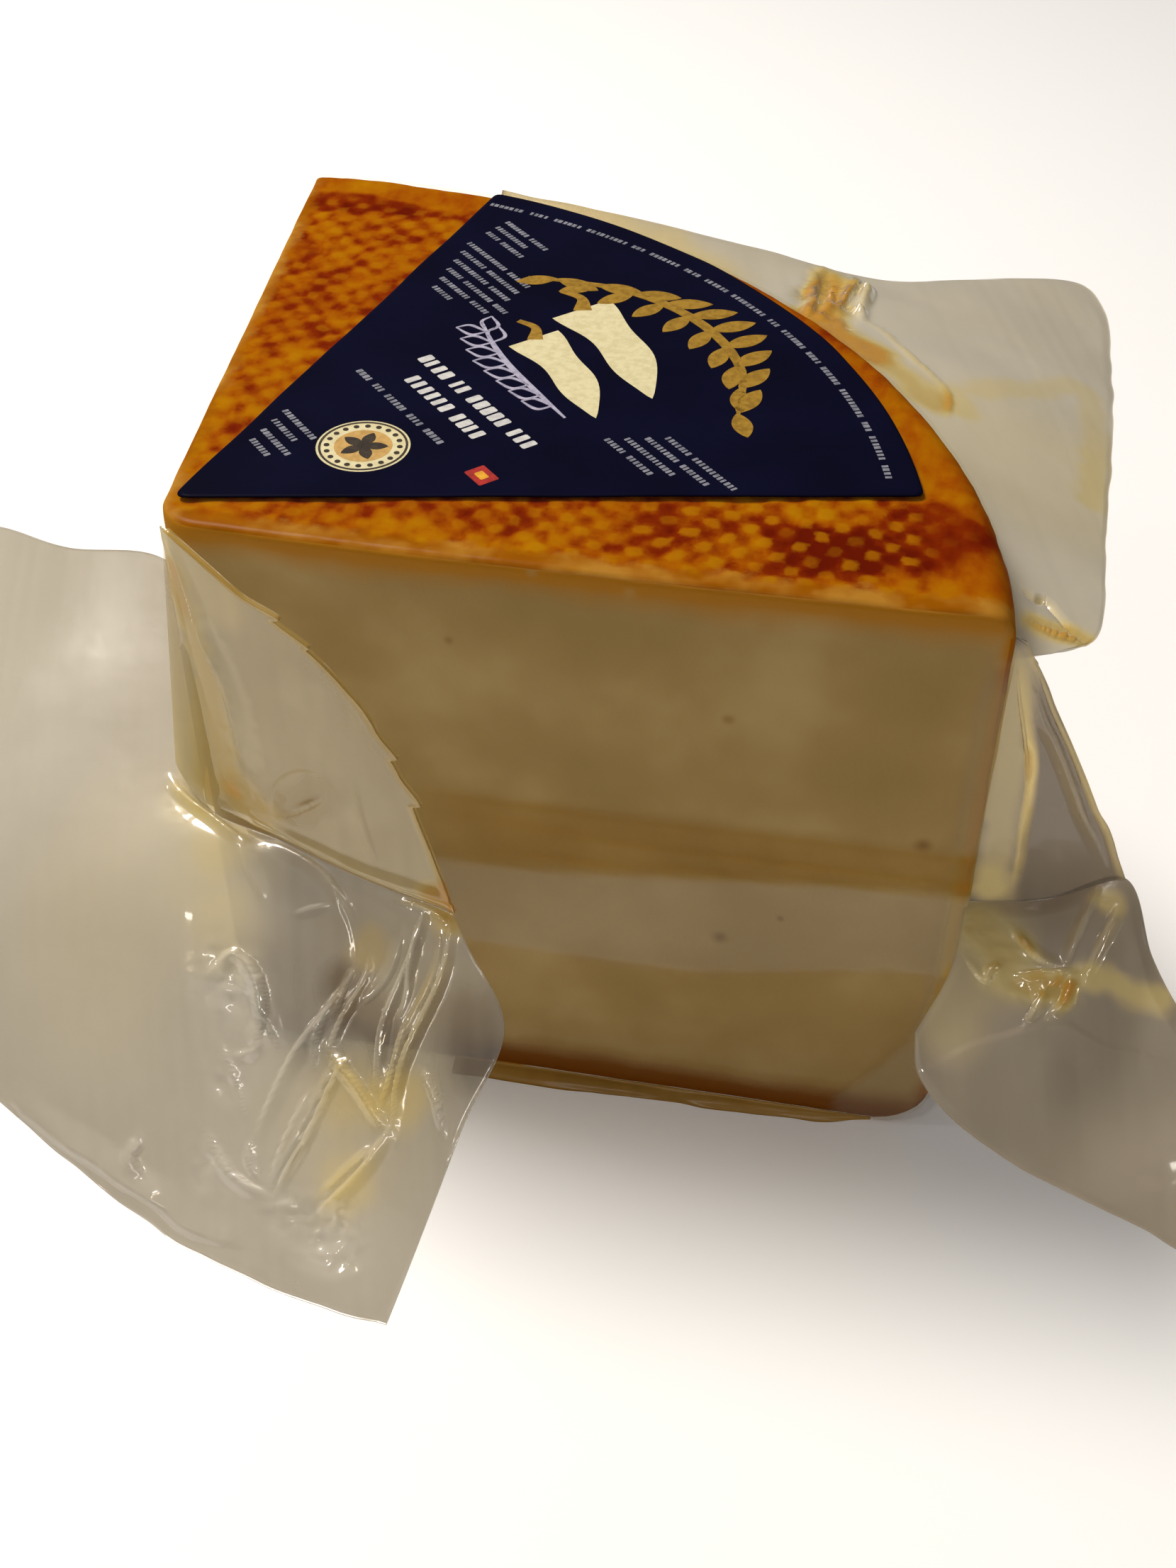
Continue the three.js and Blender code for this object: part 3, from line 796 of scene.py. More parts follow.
ROUND_SIDE_EDGE = [on_round_side(78 - 73 * i / 16, 79 - 3 * i / 16) for i in range(17)]
BACK_LEFT_EDGE = [18.3, 90.7, 82]
BACK_RIGHT_EDGE = [97.3, 6.2, 75]
BACK_FLAP = {
    "inner": ROUND_SIDE_EDGE,
    "outer": [
        BACK_LEFT_EDGE, [36.5, 90.4, 80], [53.2, 93.2, 76], [73.5, 100.9, 69],
        [93.5, 116, 63], [103.5, 121, 60], [106.8, 112.7, 60], [107.2, 90.3, 62],
        [104.7, 37.4, 68], [102.2, 12.1, 73], BACK_RIGHT_EDGE,
    ],
    "first": [ROUND_SIDE_EDGE[0], BACK_LEFT_EDGE],
    "last": [ROUND_SIDE_EDGE[-1], BACK_RIGHT_EDGE],
    "columns": 320, "rows": 130, "seed": 210,
    "haze": 0.66, "oiled": 0.05, "crumple": 0.06, "swell": 0.8,
    "creases": [
        ([(385, 153), (302, 466), (252, 759)], 1.2, 1.5, 0.8),
        ([(379, 223), (308, 524), (260, 794)], 1.0, 1.3, 0.7),
        ([(386, 263), (332, 501), (269, 860)], 1.0, 1.3, 0.5),
        ([(403, 283), (365, 426), (280, 805)], 1.2, 1.5, 0.4),
        ([(375, 326), (392, 311), (415, 266)], 0.8, 1.2, 0.4),
        ([(403, 290), (449, 260), (511, 250), (581, 280), (620, 220)], 0.7, 0.25, 0.5),
        ([(898, 236), (911, 331), (916, 378), (913, 434), (928, 514), (948, 657)], 0.9, -1.0, 0.6),
        ([(941, 286), (956, 491), (969, 955)], 0.9, 0.8, 0.5),
    ],
    "patches": [
        ([(385, 200), (310, 500), (270, 720)], 4.0, -0.1, 0.75, 1.4),
        ((385, 170), 2.5, 0.1, 0.3, 0.3),
        ([(385, 100), (423, 120), (458, 120)], 6.0, -0.3, 0.95, 0.1),
        ([(470, 140), (500, 160), (540, 180), (580, 190)], 4.0, -0.05, 0.55, 0.1),
        ([(579, 305), (615, 293)], 2.6, 0.06, 0.3, 0.0),
        ([(585, 394), (601, 625), (621, 860), (699, 888), (778, 865)], 2.6, 0.04, 0.25, 0.0),
        ((720, 550), 20.0, 0.03, 0.15, 0.0),
        ([(946, 361), (954, 539), (957, 747), (964, 950)], 2.6, 0.12, 0.6, 0.2),
        ([(30, 600), (130, 450), (220, 350)], 6.0, 0.1, 0.35, 0.05),
    ],
}
FRONT_HEM = {
    "inner": [[30, -0.5, 1.3], [58, -0.5, 1.3], [86, -0.5, 1.3]],
    "outer": [[30, -2.6, 0.4], [40, -2.9, 0.4], [60, -2.4, 0.4], [78, -1.8, 0.4], [86, -0.7, 0.9]],
    "first": [[30, -0.5, 1.3], [30, -2.6, 0.4]],
    "last": [[86, -0.5, 1.3], [86, -0.7, 0.9]],
    "columns": 160, "rows": 14, "seed": 250,
    "haze": 0.7, "crumple": 0.1, "swell": 0.1,
}


def skin_points():
    """The film that clings round the wedge, with its tension wrinkles and the fold across the front."""
    counts = (14, 120, 120, 110, 4)
    cap = [[0, 1, 3, 7, 14, 24, 34], [*np.arange(0, 24, 1.2), *np.arange(26, 36, 4)]]
    low_steps = [0.15, 0.5, 1.1, 2.0, 3.2, 4.6, 6.2, 8.0]
    high_steps = [0.12, 0.35, 0.7, 1.2, 1.9, 2.7, 3.5]
    sides = (low_steps, high_steps, 1.0)
    points, normals, faces, facts = grown_wedge(FILM_GROWTH, counts, 1.2, cap, sides)
    x, z = points[:, 0], points[:, 2]
    on_front = fade(facts["front"], 0.4, -0.2) * (1 - fade(np.abs(normals[:, 2]), 0.4, 0.8))
    fold_low = 24.5 + 5.5 * fade(x, 55, 92)
    fold_high = 38.5 + 5.0 * fade(x, 30, 92)
    doubled = fade(z, fold_low - 0.5, fold_low + 0.5) * on_front
    doubled = doubled * (1 - fade(z, fold_high - 0.6, fold_high + 0.6))
    lines = np.zeros(len(points))
    for start, end, width in ((49.4, 49.8, 0.9), (46.5, 45.0, 0.8), (38.7, 43.9, 0.7)):
        line = start + (end - start) * x / FRONT_END
        lines = np.maximum(lines, np.clip(1 - np.abs(z - line) / width, 0, 1) * on_front * fade(x, 26, 44))
    wrinkles = rough(points, 5, 3, 61) * WRINKLE_HEIGHT
    wrinkles = wrinkles + (ridged(points * [1, 1, 0.35], 7, 2, 67) - 0.5) * RIDGE_HEIGHT
    near_edge = fade(np.minimum(facts["top"], facts["round"] + 2), 6, 1)
    on_rim = fade(facts["top"], 2.2, 0.8) * fade(np.minimum(facts["front"], facts["left"]), 2.0, 0.8)
    creased_rim = (ridged(points, 1.9, 2, 71) - 0.5) * RIM_CREASE_HEIGHT * on_rim
    under_label = fade(sector_depth(points[:, :2]), -0.5, 1.0) * fade(facts["top"], 1, 0)
    wrinkles = (wrinkles * (0.35 + 0.6 * near_edge) + creased_rim) * (1 - under_label)
    relief = wrinkles + FOLD_HEIGHT * doubled + FOLD_LINE_HEIGHT * lines
    points = points + normals * relief[:, None]
    points[:, 1] -= front_bulge(points)
    band = fade(z, fold_high - 1, fold_high + 1) * (1 - fade(z, 49, 50.5)) * on_front * fade(x, 20, 40)
    from_tip = np.hypot(x - 0.5, points[:, 1] - 1.5)
    over_tip = fade(from_tip, 7.0, 2.5) * fade(z, 80, 70)
    seam_x = np.interp(z, [4.7, 10.2, 17.3, 32.4, 40], [81.6, 85.1, 89.3, 92.7, 93.9])
    seam = np.clip(1 - np.abs(x - seam_x) / 0.7, 0, 1) * on_front * fade(z, 36, 30)
    past_seam = fade(x - seam_x, 0, 0.8) * on_front * fade(z, 40, 33)
    pleat_root = fade(facts["round"], 3.2, 1.0) * fade(points[:, 1], 6, 1) * fade(z, 80, 72)
    pleat_root = pleat_root * fade(z, 8, 20)
    proud = fade(from_tip, 8, 2) * np.interp(z, [36, 46, 62, 82], [0, 1, 0.55, 0])
    points[:, :2] += np.outer(proud * TIP_STAND_OFF, [-1.0, -0.1])
    milky = 0.002 + 0.45 * proud + 0.14 * doubled + 0.03 * band + 0.08 * lines + 0.30 * over_tip
    milky = milky + 0.2 * seam + 0.1 * past_seam + 0.3 * pleat_root
    oiled = 0.42 * proud + 0.45 * pleat_root + 0.3 * band + 0.3 * lines
    oiled = oiled + 0.55 * over_tip * fade(from_tip, 2.0, 5.0) + 0.4 * seam
    return points, faces, {"milky": milky, "oiled": oiled}


# Label


def label_height(x, y):
    """Height of the label's upper face in mm, which ripples a little and lifts along its sides."""
    flat = np.column_stack([np.ravel(x), np.ravel(y)])
    side = np.minimum(sector_depth(flat), 8)
    lift = fade(side, 5, 0) * (0.04 + 0.06 * noise(flat, 11, 71))
    ripple = LABEL_RIPPLE * noise(flat, 24, 73)
    return CHEESE_TOP + FILM_GROWTH + LABEL_THICKNESS + 0.12 + np.maximum(ripple + lift, -0.08)


def sector_depth(flat):
    """Distance in mm from points to the label's nearest side."""
    local = flat - LABEL_TIP
    radius = np.linalg.norm(local, axis=1)
    sides = [
        local @ np.array([-math.sin(LABEL_START), math.cos(LABEL_START)]),
        local @ np.array([math.sin(LABEL_END), -math.cos(LABEL_END)]),
        LABEL_RADIUS - radius,
    ]
    return np.minimum.reduce(sides)


def label_outline(inset=0.0):
    """Closed outline of the label's sector with its rounded corners, moved inwards by inset."""
    half = (LABEL_END - LABEL_START) / 2
    middle = (LABEL_END + LABEL_START) / 2
    tip = LABEL_TIP + np.array([math.cos(middle), math.sin(middle)]) * inset / math.sin(half)
    radius = LABEL_RADIUS - inset - inset / math.sin(half)
    turn = LABEL_CORNER / radius
    angles = np.linspace(LABEL_START + turn, LABEL_END - turn, 120)
    t = np.linspace(0, 1, 6)[:, None]
    reach = radius - LABEL_CORNER
    tip_reach = LABEL_CORNER / math.tan(half)
    side = np.linspace(0, 1, 90)[1:-1, None]
    first_near, first_far = on_circle(tip, tip_reach, LABEL_START), on_circle(tip, reach, LABEL_START)
    last_near, last_far = on_circle(tip, tip_reach, LABEL_END), on_circle(tip, reach, LABEL_END)
    return np.vstack(
        [
            first_near + (first_far - first_near) * side,
            bend(first_far, on_circle(tip, radius, LABEL_START), on_circle(tip, radius, angles[0]), t),
            on_circle(tip, radius, angles[1:-1]),
            bend(on_circle(tip, radius, angles[-1]), on_circle(tip, radius, LABEL_END), last_far, t),
            last_far + (last_near - last_far) * side,
            bend(last_near, tip, first_near, t),
        ]
    )


def label_points():
    """The label as a thin closed sheet that follows the film."""
    outline = label_outline()
    middle = outline.mean(0)
    shares = np.concatenate([[1.0], np.linspace(0.985, 0.05, 44)])
    rings = middle + (outline - middle)[None] * shares[:, None, None]
    wavy = noise(np.column_stack([outline, np.zeros(len(outline))]), 9, 77) * 0.18
    outward = (outline - middle) / np.linalg.norm(outline - middle, axis=1, keepdims=True)
    rings[0] += outward * wavy[:, None]
    rings[1] += outward * wavy[:, None] * 0.8
    rows, columns, _ = rings.shape
    upper = np.dstack([rings, label_height(rings[..., 0], rings[..., 1]).reshape(rows, columns)])
    lower = upper - [0, 0, LABEL_THICKNESS]
    grid = np.vstack([lower[::-1], upper])
    return close_rings(grid)


def from_bisector(p, q):
    """Point on the label at p mm from its tip along the middle line and q mm to the left of that line."""
    angle = (LABEL_START + LABEL_END) / 2
    p, q = np.asarray(p, float), np.asarray(q, float)
    cos, sin = math.cos(angle), math.sin(angle)
    return np.stack([p * cos - q * sin, p * sin + q * cos], -1) + LABEL_TIP


def bar(p, q, length, height, rounding=0.25):
    """Bar of ink that runs from q towards the front side, with slightly rounded ends."""
    end = min(height, length) * rounding
    q_values = [q, q - end, q - length + end, q - length, q - length, q - length + end, q - end, q]
    half = height / 2
    p_values = [half - end, half, half, half - end, end - half, -half, -half, end - half]
    return from_bisector(p + np.array(p_values), q_values)


def letter_share(i):
    """How much of a letter's pitch its block of ink fills."""
    return 0.66 + 0.16 * LEVELS[(i * 37) & 4095]


def word_bars(p, q, lengths, height, gap):
    """Row of words, each a run of blocks the size of letters."""
    bars = []
    for length in lengths:
        count = max(round(length / height / 0.8), 1)
        pitch = length / count
        for i in range(count):
            share = letter_share(i + round(p * 13 + q * 7))
            bars.append(bar(p, q - i * pitch, pitch * share, height, 0.15))
        q -= length + gap
    return bars


def arc_bars(radius, start, end, lengths, height, gap):
    """Words of letter-size blocks along an arc round the label's tip, between two angles in degrees."""
    bars = []
    angle = math.radians(start)
    i = 0
    while angle < math.radians(end):
        count = round(lengths[i % len(lengths)] / height)
        for letter in range(count):
            angles = np.linspace(angle, angle + height * letter_share(letter + i * 11) / radius, 3)
            outer = on_circle(LABEL_TIP, radius + height / 2, angles)
            inner = on_circle(LABEL_TIP, radius - height / 2, angles[::-1])
            bars.append(np.vstack([outer, inner]))
            angle += height / radius
        angle += gap / radius
        i += 1
    return bars


def disc(p, q, radius, inner=0.0, count=48):
    """Disc or ring of ink; a ring is cut in two halves so that each is a simple outline."""
    if not inner:
        angles = np.linspace(0, 2 * math.pi, count, endpoint=False)
        return [from_bisector(p + radius * np.cos(angles), q + radius * np.sin(angles))]
    halves = []
    for start in (0, math.pi):
        angles = np.linspace(start, start + math.pi, count // 2)
        p_values = np.concatenate([radius * np.cos(angles), inner * np.cos(angles[::-1])])
        q_values = np.concatenate([radius * np.sin(angles), inner * np.sin(angles[::-1])])
        halves.append(from_bisector(p + p_values, q + q_values))
    return halves


def stroke(points, widths):
    """Stroke of ink along a smooth path of (p, q) points, with a width at each end and in the middle."""
    path = curve(*points)(np.linspace(0, 1, 22))
    direction = np.gradient(path, axis=0)
    direction /= np.linalg.norm(direction, axis=1, keepdims=True)
    side = np.column_stack([-direction[:, 1], direction[:, 0]])
    width = np.interp(np.linspace(0, 1, len(path)), np.linspace(0, 1, len(widths)), widths)[:, None] / 2
    outline = np.vstack([path + side * width, (path - side * width)[::-1]])
    return from_bisector(outline[:, 0], outline[:, 1])


def leaf(p, q, angle, length, width, notch=0.0):
    """Pointed leaf whose base is at (p, q), turned by angle in degrees from the +p direction."""
    t = np.linspace(0, 1, 14)
    half = width / 2 * np.sin(t * math.pi) ** 0.8
    along = np.concatenate([t * length, t[::-1][1:-1] * length])
    across = np.concatenate([half, -half[::-1][1:-1] * (1 - notch)])
    cos, sin = math.cos(math.radians(angle)), math.sin(math.radians(angle))
    return from_bisector(p + along * cos - across * sin, q + along * sin + across * cos)


def add_print(name, outlines, material, layer=0):
    """Flat shapes of ink on the label, each a thin closed prism; a higher layer lies on a lower one."""
    rise = PRINT_RISE + LAYER_RISE * layer
    points, faces = [], []
    for outline in outlines:
        outline = np.asarray(outline)
        start, count = len(points), len(outline)
        top = label_height(outline[:, 0], outline[:, 1]) + rise
        points += [(*xy, z) for xy, z in zip(outline, top)]
        points += [(*xy, z - rise - INK_THICKNESS) for xy, z in zip(outline, top)]
        x, y = outline.T
        area = np.sum(x * np.roll(y, -1) - np.roll(x, -1) * y)
        for triangle in tessellate_polygon([[Vector((*xy, 0)) for xy in outline]]):
            a, b, c = triangle
            corner = outline[[a, b, c]]
            (x1, y1), (x2, y2) = corner[1] - corner[0], corner[2] - corner[0]
            if x1 * y2 - x2 * y1 < 0:
                b, c = c, b
            below = start + count
            faces += [(start + a, start + b, start + c), (below + a, below + c, below + b)]
        for i in range(count):
            after = (i + 1) % count
            side = (start + i, start + count + i, start + count + after, start + after)
            faces.append(side if area > 0 else side[::-1])
    return add_piece(name, points, faces, material, smooth=False)


def pepper_pod(p, q, length, width, bend):
    """Closed outline of a plain pepper pod that runs from its shoulder at (p, q) towards the front side."""
    t = np.linspace(0, 1, 26)
    half = width / 2 * (1 - t**2.4) ** 0.75 * (0.86 + 0.14 * np.cos(t * 9))
    lean = bend * t**2
    p_values = np.concatenate([p + lean + half, (p + lean - half)[::-1]])
    q_values = np.concatenate([q - length * t, (q - length * t)[::-1]])
    return from_bisector(p_values, q_values)


# Rows of small bars: where the first starts, the step to the next, the gap between words, and their lengths
LABEL_ROWS = (
    ((58.5, 34.5), (-2.0, -1.6), 0.7, ((9.5, 5), (6, 7.4), (8.2, 4.6), (3.6, 6.6, 3), (7, 4), (4.4,))),
    ((66.0, 37.0), (-1.9, -0.6), 0.7, ((5.4, 4.0), (7.6,), (3.0, 5.2))),
    ((52.5, -20.0), (-2.0, 1.2), 0.7, ((4.6, 8.0), (6.2, 5.0), (9.4,), (3.8, 4.6))),
    ((18.5, 9.4), (-2.0, -1.2), 0.6, ((7.6,), (5.6,), (6.6,), (4.2,))),
)


def add_label_prints(inks):
    """Plain bars, leaves and pods in the places of the label's print."""
    white = word_bars(38.4, 11.5, (6.4, 2.8, 8.0, 4.6), 2.0, 1.1)
    white += word_bars(34.6, 8.0, (9.4, 6.0), 2.0, 1.1)
    grey = word_bars(30.2, 13.0, (3.2, 2.0, 4.4, 3.0, 3.8), 0.9, 0.9)
    for start, step, gap, rows in LABEL_ROWS:
        for row, words in enumerate(rows):
            grey += word_bars(start[0] + row * step[0], start[1] + row * step[1], words, 0.8, gap)
    arc = arc_bars(79.4, 13.5, 75.5, (3.2, 5.6, 2.2, 7.0, 4.2), 0.75, 0.9)

    # Gold spray of leaves along an arc of its own
    gold = [stroke([(60, 22), (68.5, 12), (71.5, 0), (69, -12), (61, -22)], (0.4, 1.3, 1.5, 1.2, 0.3))]
    for i in range(10):
        q = 19.5 - i * 4.4
        p = 71.5 - 0.0225 * q * q
        lean = 0.045 * q * 57
        gold.append(leaf(p, q, -20 - lean * 0.9, 6.2, 2.6))
        gold.append(leaf(p, q, -160 - lean * 0.9, 5.4, 2.4))
    cream = [pepper_pod(61.0, 11.0, 23.0, 8.6, -5.0), pepper_pod(52.0, 8.0, 20.0, 7.2, -4.0)]
    stalks = [stroke([(61.0, 10.6), (62.6, 13.4), (61.6, 16.4)], (2.4, 1.2, 1.0))]
    stalks.append(stroke([(52.0, 7.6), (53.6, 10.2), (52.8, 12.8)], (2.0, 1.1, 0.8)))

    # Sprig of outlined leaves, in pairs along its stem
    stem = [(45.0, -10), (45.4, -3), (46.0, 4), (47.2, 10), (48.8, 15)]
    sprig = [stroke(stem, (0.3, 0.7, 0.8, 0.7, 0.3))]
    for i, (p, q) in enumerate(curve(*stem)(np.linspace(0.12, 0.9, 8))):
        reach = 3.2 - 0.2 * abs(i - 4)
        for side in (1, -1):
            if side > 0 and q < 9.5:
                continue
            tip = (p + side * reach, q + 3.0)
            sprig.append(stroke([(p, q), (p + side * reach * 0.35, q + 2.6), tip], (0.25, 0.5, 0.2)))
            sprig.append(stroke([tip, (p + side * reach * 0.75, q + 0.4), (p, q)], (0.2, 0.5, 0.25)))

    seal_p, seal_q, seal_radius = 22.5, -2.4, 5.4
    add_print("label_print_white", white, inks["white"])
    add_print("label_print_grey", grey + arc, inks["grey"])
    add_print("label_print_gold", gold + stalks, inks["gold"], 1)
    add_print("label_print_cream", cream + disc(seal_p, seal_q, seal_radius), inks["cream"])
    add_print("label_print_lilac", sprig, inks["lilac"], 2)
    add_print("label_seal_middle", disc(seal_p, seal_q, seal_radius * 0.62), inks["tan"], 1)
    petals = [leaf(seal_p, seal_q, 36 + 72 * i, 2.9, 1.5) for i in range(5)]
    rim = disc(seal_p, seal_q, seal_radius * 0.95, seal_radius * 0.9)
    dots = [
        disc(seal_p + 4.2 * math.cos(a), seal_q + 4.2 * math.sin(a), 0.34, count=10)[0]
        for a in np.linspace(0, 2 * math.pi, 20, endpoint=False)
    ]
    add_print("label_seal_marks", petals + rim + dots, inks["dark"], 2)
    add_print("label_mark_red", [bar(30.6, -13.4, 3.4, 2.6, 0.05)], inks["red"])
    add_print("label_mark_yellow", [bar(30.6, -14.3, 1.6, 1.1, 0.1)], inks["yellow"], 1)


# Materials


def add(tree, kind, inputs=(), give=0, stops=(), **settings):
    """Adds a shader node with its settings, and returns the output that give names, or several for a slice.

    Inputs are values or links, by name or in the node's own order. A colour may be an sRGB hex value.
    """
    made = tree.nodes.new("ShaderNode" + kind)
    for title, value in settings.items():
        setattr(made, title, value)
    for title, value in inputs.items() if isinstance(inputs, dict) else enumerate(inputs):
        if isinstance(value, bpy.types.NodeSocket):
            tree.links.new(value, made.inputs[title])
        else:
            made.inputs[title].default_value = linear(value) if isinstance(value, str) else value
    for i, (place, colour) in enumerate(stops):
        elements = made.color_ramp.elements
        element = elements[i] if i < len(elements) else elements.new(1.0)
        element.position = place
        element.color = linear(colour) if isinstance(colour, str) else (colour, colour, colour, 1.0)
    return made.outputs[give] if made.outputs else made


def new_material(name):
    """Empty material and its node tree."""
    material = bpy.data.materials.new(name)
    material.use_nodes = True
    material.node_tree.nodes.clear()
    return material, material.node_tree


def cloth_rind_material():
    """Natural cheese rind, pressed in cloth and rubbed with paprika and oil, with film clinging to it.

    The powder lies dark red-brown in the thread marks and worn orange on the bumps between them, and it is
    paler where the bag rubs the edges. Oil joins rind and film, so the film carries the gloss, the rind none.
    """
    material, tree = new_material("paprika_rubbed_cloth_rind")
    where = add(tree, "TexCoord", give="Object")
    threads = add(tree, "Attribute", give="Vector", attribute_name="threads")
    pressed, paprika, from_cut, from_round = (
        add(tree, "Attribute", give="Fac", attribute_name=title)
        for title in ("weave_strength", "paprika", "from_cut_mm", "from_round_mm")
    )
    mottles = []
    for size, detail in ((9.0, 3.0), (3.0, 3.0), (0.9, 3.0), (0.35, 2.0)):
        look = {"Vector": where, "Scale": 1 / (size * MM), "Detail": detail, "Roughness": 0.55}
        mottles.append(add(tree, "TexNoise", look))
    large, middle, small, grains = mottles

    # Thread coordinates count one for each thread. The product of their sines is a checkerboard, as threads
    # go over and under each other by turns
    along, over, bare = add(tree, "SeparateXYZ", [threads], give=slice(0, 3))
    turns = [add(tree, "Math", [axis, math.pi], operation="MULTIPLY") for axis in (along, over)]
    waves = [add(tree, "Math", [turn], operation="SINE") for turn in turns]
    bumps = add(tree, "Math", waves, operation="MULTIPLY")

    # Powder dragged along the warp lies in dashes a thread wide and two to three long
    drawn_out = add(tree, "VectorMath", [threads, (1.0, 0.4, 0.0)], operation="MULTIPLY")
    streaks = add(tree, "TexNoise", {"Vector": drawn_out, "Scale": 1 / 1.5, "Detail": 2.0, "Roughness": 0.6})
    dashes = add(tree, "MapRange", [streaks, 0.44, 0.68])

    # A bump's crown is rubbed bare to orange where it stands proud, and grooves keep their powder
    proud = add(tree, "Math", [small, 1.1, bumps], operation="MULTIPLY_ADD")
    crown = add(tree, "MapRange", [proud, 0.6, 1.2])
    for share in (bare, pressed):
        crown = add(tree, "Math", [crown, share], operation="MULTIPLY")
    groove = add(tree, "MapRange", [proud, 0.55, -0.2])
    groove = add(tree, "Math", [groove, pressed], operation="MULTIPLY")

    # The powder is what was rubbed on, with each pattern in its measure, and clumps less near the round side.
    # Noise averages a half, and the start takes that off again
    calm = add(tree, "MapRange", [from_round, 3.0, 11.0, 0.4, 1.0])
    grip = add(tree, "MapRange", [middle, 0.35, 0.65, 0.06, 0.18])
    clumps = add(tree, "Math", [middle, 0.65, -0.325], operation="MULTIPLY_ADD")
    layers = [(paprika, 0.72), (groove, grip), (dashes, 0.18), (crown, -0.18), (clumps, calm)]
    layers += [(large, 0.6), (grains, 0.14)]
    powder = -0.27
    for pattern, measure in layers:
        powder = add(tree, "Math", [pattern, measure, powder], operation="MULTIPLY_ADD")
    stops = ((0.0, "#a67000"), (0.2, "#9e5e00"), (0.38, "#924800"), (0.6, "#762400"), (0.85, "#5e1200"))
    colour = add(tree, "ValToRGB", [powder], stops=stops)
    worn = add(tree, "Math", [crown, 0.6], operation="MULTIPLY")
    colour = add(tree, "Mix", {0: worn, 6: colour, 7: "#a26a04"}, give=2, data_type="RGBA")

    # The edge along each cut is rubbed pale gold over about 2 mm, raggedly
    edge = add(tree, "Math", [middle, -4.0, from_cut], operation="MULTIPLY_ADD")
    edge = add(tree, "Math", [small, -1.2, edge], operation="MULTIPLY_ADD")
    rubbed = add(tree, "MapRange", [edge, 0.4, -1.2])
    paler = add(tree, "MapRange", [large, 0.42, 0.6])
    gold = add(tree, "Mix", {0: paler, 6: "#8c5000", 7: "#a67428"}, give=2, data_type="RGBA")
    colour = add(tree, "Mix", {0: rubbed, 6: colour, 7: gold}, give=2, data_type="RGBA")
    fine = add(tree, "Bump", {"Height": small, "Strength": 0.3, "Distance": 0.15 * MM})
    dull = add(tree, "MapRange", [powder, 0.1, 0.9, 0.4, 0.65])
    look = {"Base Color": colour, "Roughness": dull, "IOR": 1.46, "Specular IOR Level": 0.0, "Normal": fine}
    add(tree, "OutputMaterial", {"Surface": add(tree, "BsdfPrincipled", look)})
    return material


# Specks on the front cut: place along it and height over the table in mm, and size
PASTE_SPECKS = ((32.6, 72.6, 0.6), (63.9, 66.2, 0.7), (87.0, 50.7, 1.0), (64.6, 31.2, 1.0), (71.7, 35.9, 0.5))


def goat_paste_material():
    """Semi-hard goat's milk paste, cut with a wire: close and waxy, with a few specks and eyes. Its colours
    are darker than the ivory of the real paste: that is painted shade for the front cut, which faces away
    from the key light.

    Paprika oil has soaked in from the rind as a yellow-orange band, browner and deeper along the base.
    """
    material, tree = new_material("wire_cut_goat_paste")
    where = add(tree, "TexCoord", give="Object")
    depth = add(tree, "Attribute", give="Fac", attribute_name="rind_depth_mm")
    clouds, uneven, grain = (
        add(tree, "TexNoise", {"Vector": where, "Scale": 1 / (size * MM), "Detail": detail})
        for size, detail in ((16, 4.0), (7, 3.0), (0.7, 3.0))
    )
    # These paste colours are painted shade: darker than the paste's own ivory, for the cut that faces away
    # from the light
    colour = add(tree, "ValToRGB", [clouds], stops=((0.3, "#8f7648"), (0.5, "#987e50"), (0.72, "#a58d60")))

    # The band fades out some 5 mm below the top, 8 mm over the base and 2 mm in from the round side, unevenly
    height = add(tree, "SeparateXYZ", [where], give="Z")
    low = add(tree, "MapRange", [height, 14 * MM, 5 * MM])
    reach = add(tree, "Math", [uneven, 4.0, 2.6], operation="MULTIPLY_ADD")
    reach = add(tree, "Math", [low, 3.6, reach], operation="MULTIPLY_ADD")
    share = add(tree, "Math", [depth, reach], operation="DIVIDE")
    soaked = add(tree, "ValToRGB", [share], stops=((0.0, 1.0), (0.35, 0.9), (0.65, 0.35), (1.0, 0.0)))
    band = add(tree, "Mix", {0: low, 6: "#a06a14", 7: "#6c3800"}, give=2, data_type="RGBA")
    colour = add(tree, "Mix", {0: soaked, 6: colour, 7: band}, give=2, data_type="RGBA")
    for x, z, size in PASTE_SPECKS:
        spot = (np.array([x, -0.6, z]) + WEDGE_ORIGIN) * MM
        away = add(tree, "VectorMath", [where, tuple(spot)], give="Value", operation="DISTANCE")
        dark = add(tree, "MapRange", [away, size * 1.4 * MM, size * 0.2 * MM, 0.0, 0.75])
        colour = add(tree, "Mix", {0: dark, 6: colour, 7: "#74552c"}, give=2, data_type="RGBA")
    cells = add(tree, "TexVoronoi", {"Vector": where, "Scale": 1 / (11 * MM), "Randomness": 1.0})
    eyes = add(tree, "MapRange", [cells, 0.09, 0.03])
    pale = add(tree, "Math", [eyes, 0.35], operation="MULTIPLY")
    colour = add(tree, "Mix", {0: pale, 6: colour, 7: "#a58a5a"}, give=2, data_type="RGBA")
    pits = add(tree, "Math", [eyes, -0.5, grain], operation="MULTIPLY_ADD")
    look = {
        "Base Color": colour,
        "Roughness": 0.48,
        "IOR": 1.45,
        "Specular IOR Level": 0.0,
        "Subsurface Weight": 0.12,
        "Subsurface Radius": (1.0, 0.7, 0.4),
        "Subsurface Scale": 2.5 * MM,
        "Normal": add(tree, "Bump", {"Height": pits, "Strength": 0.3, "Distance": 0.12 * MM}),
    }
    add(tree, "OutputMaterial", {"Surface": add(tree, "BsdfPrincipled", look)})
    return material


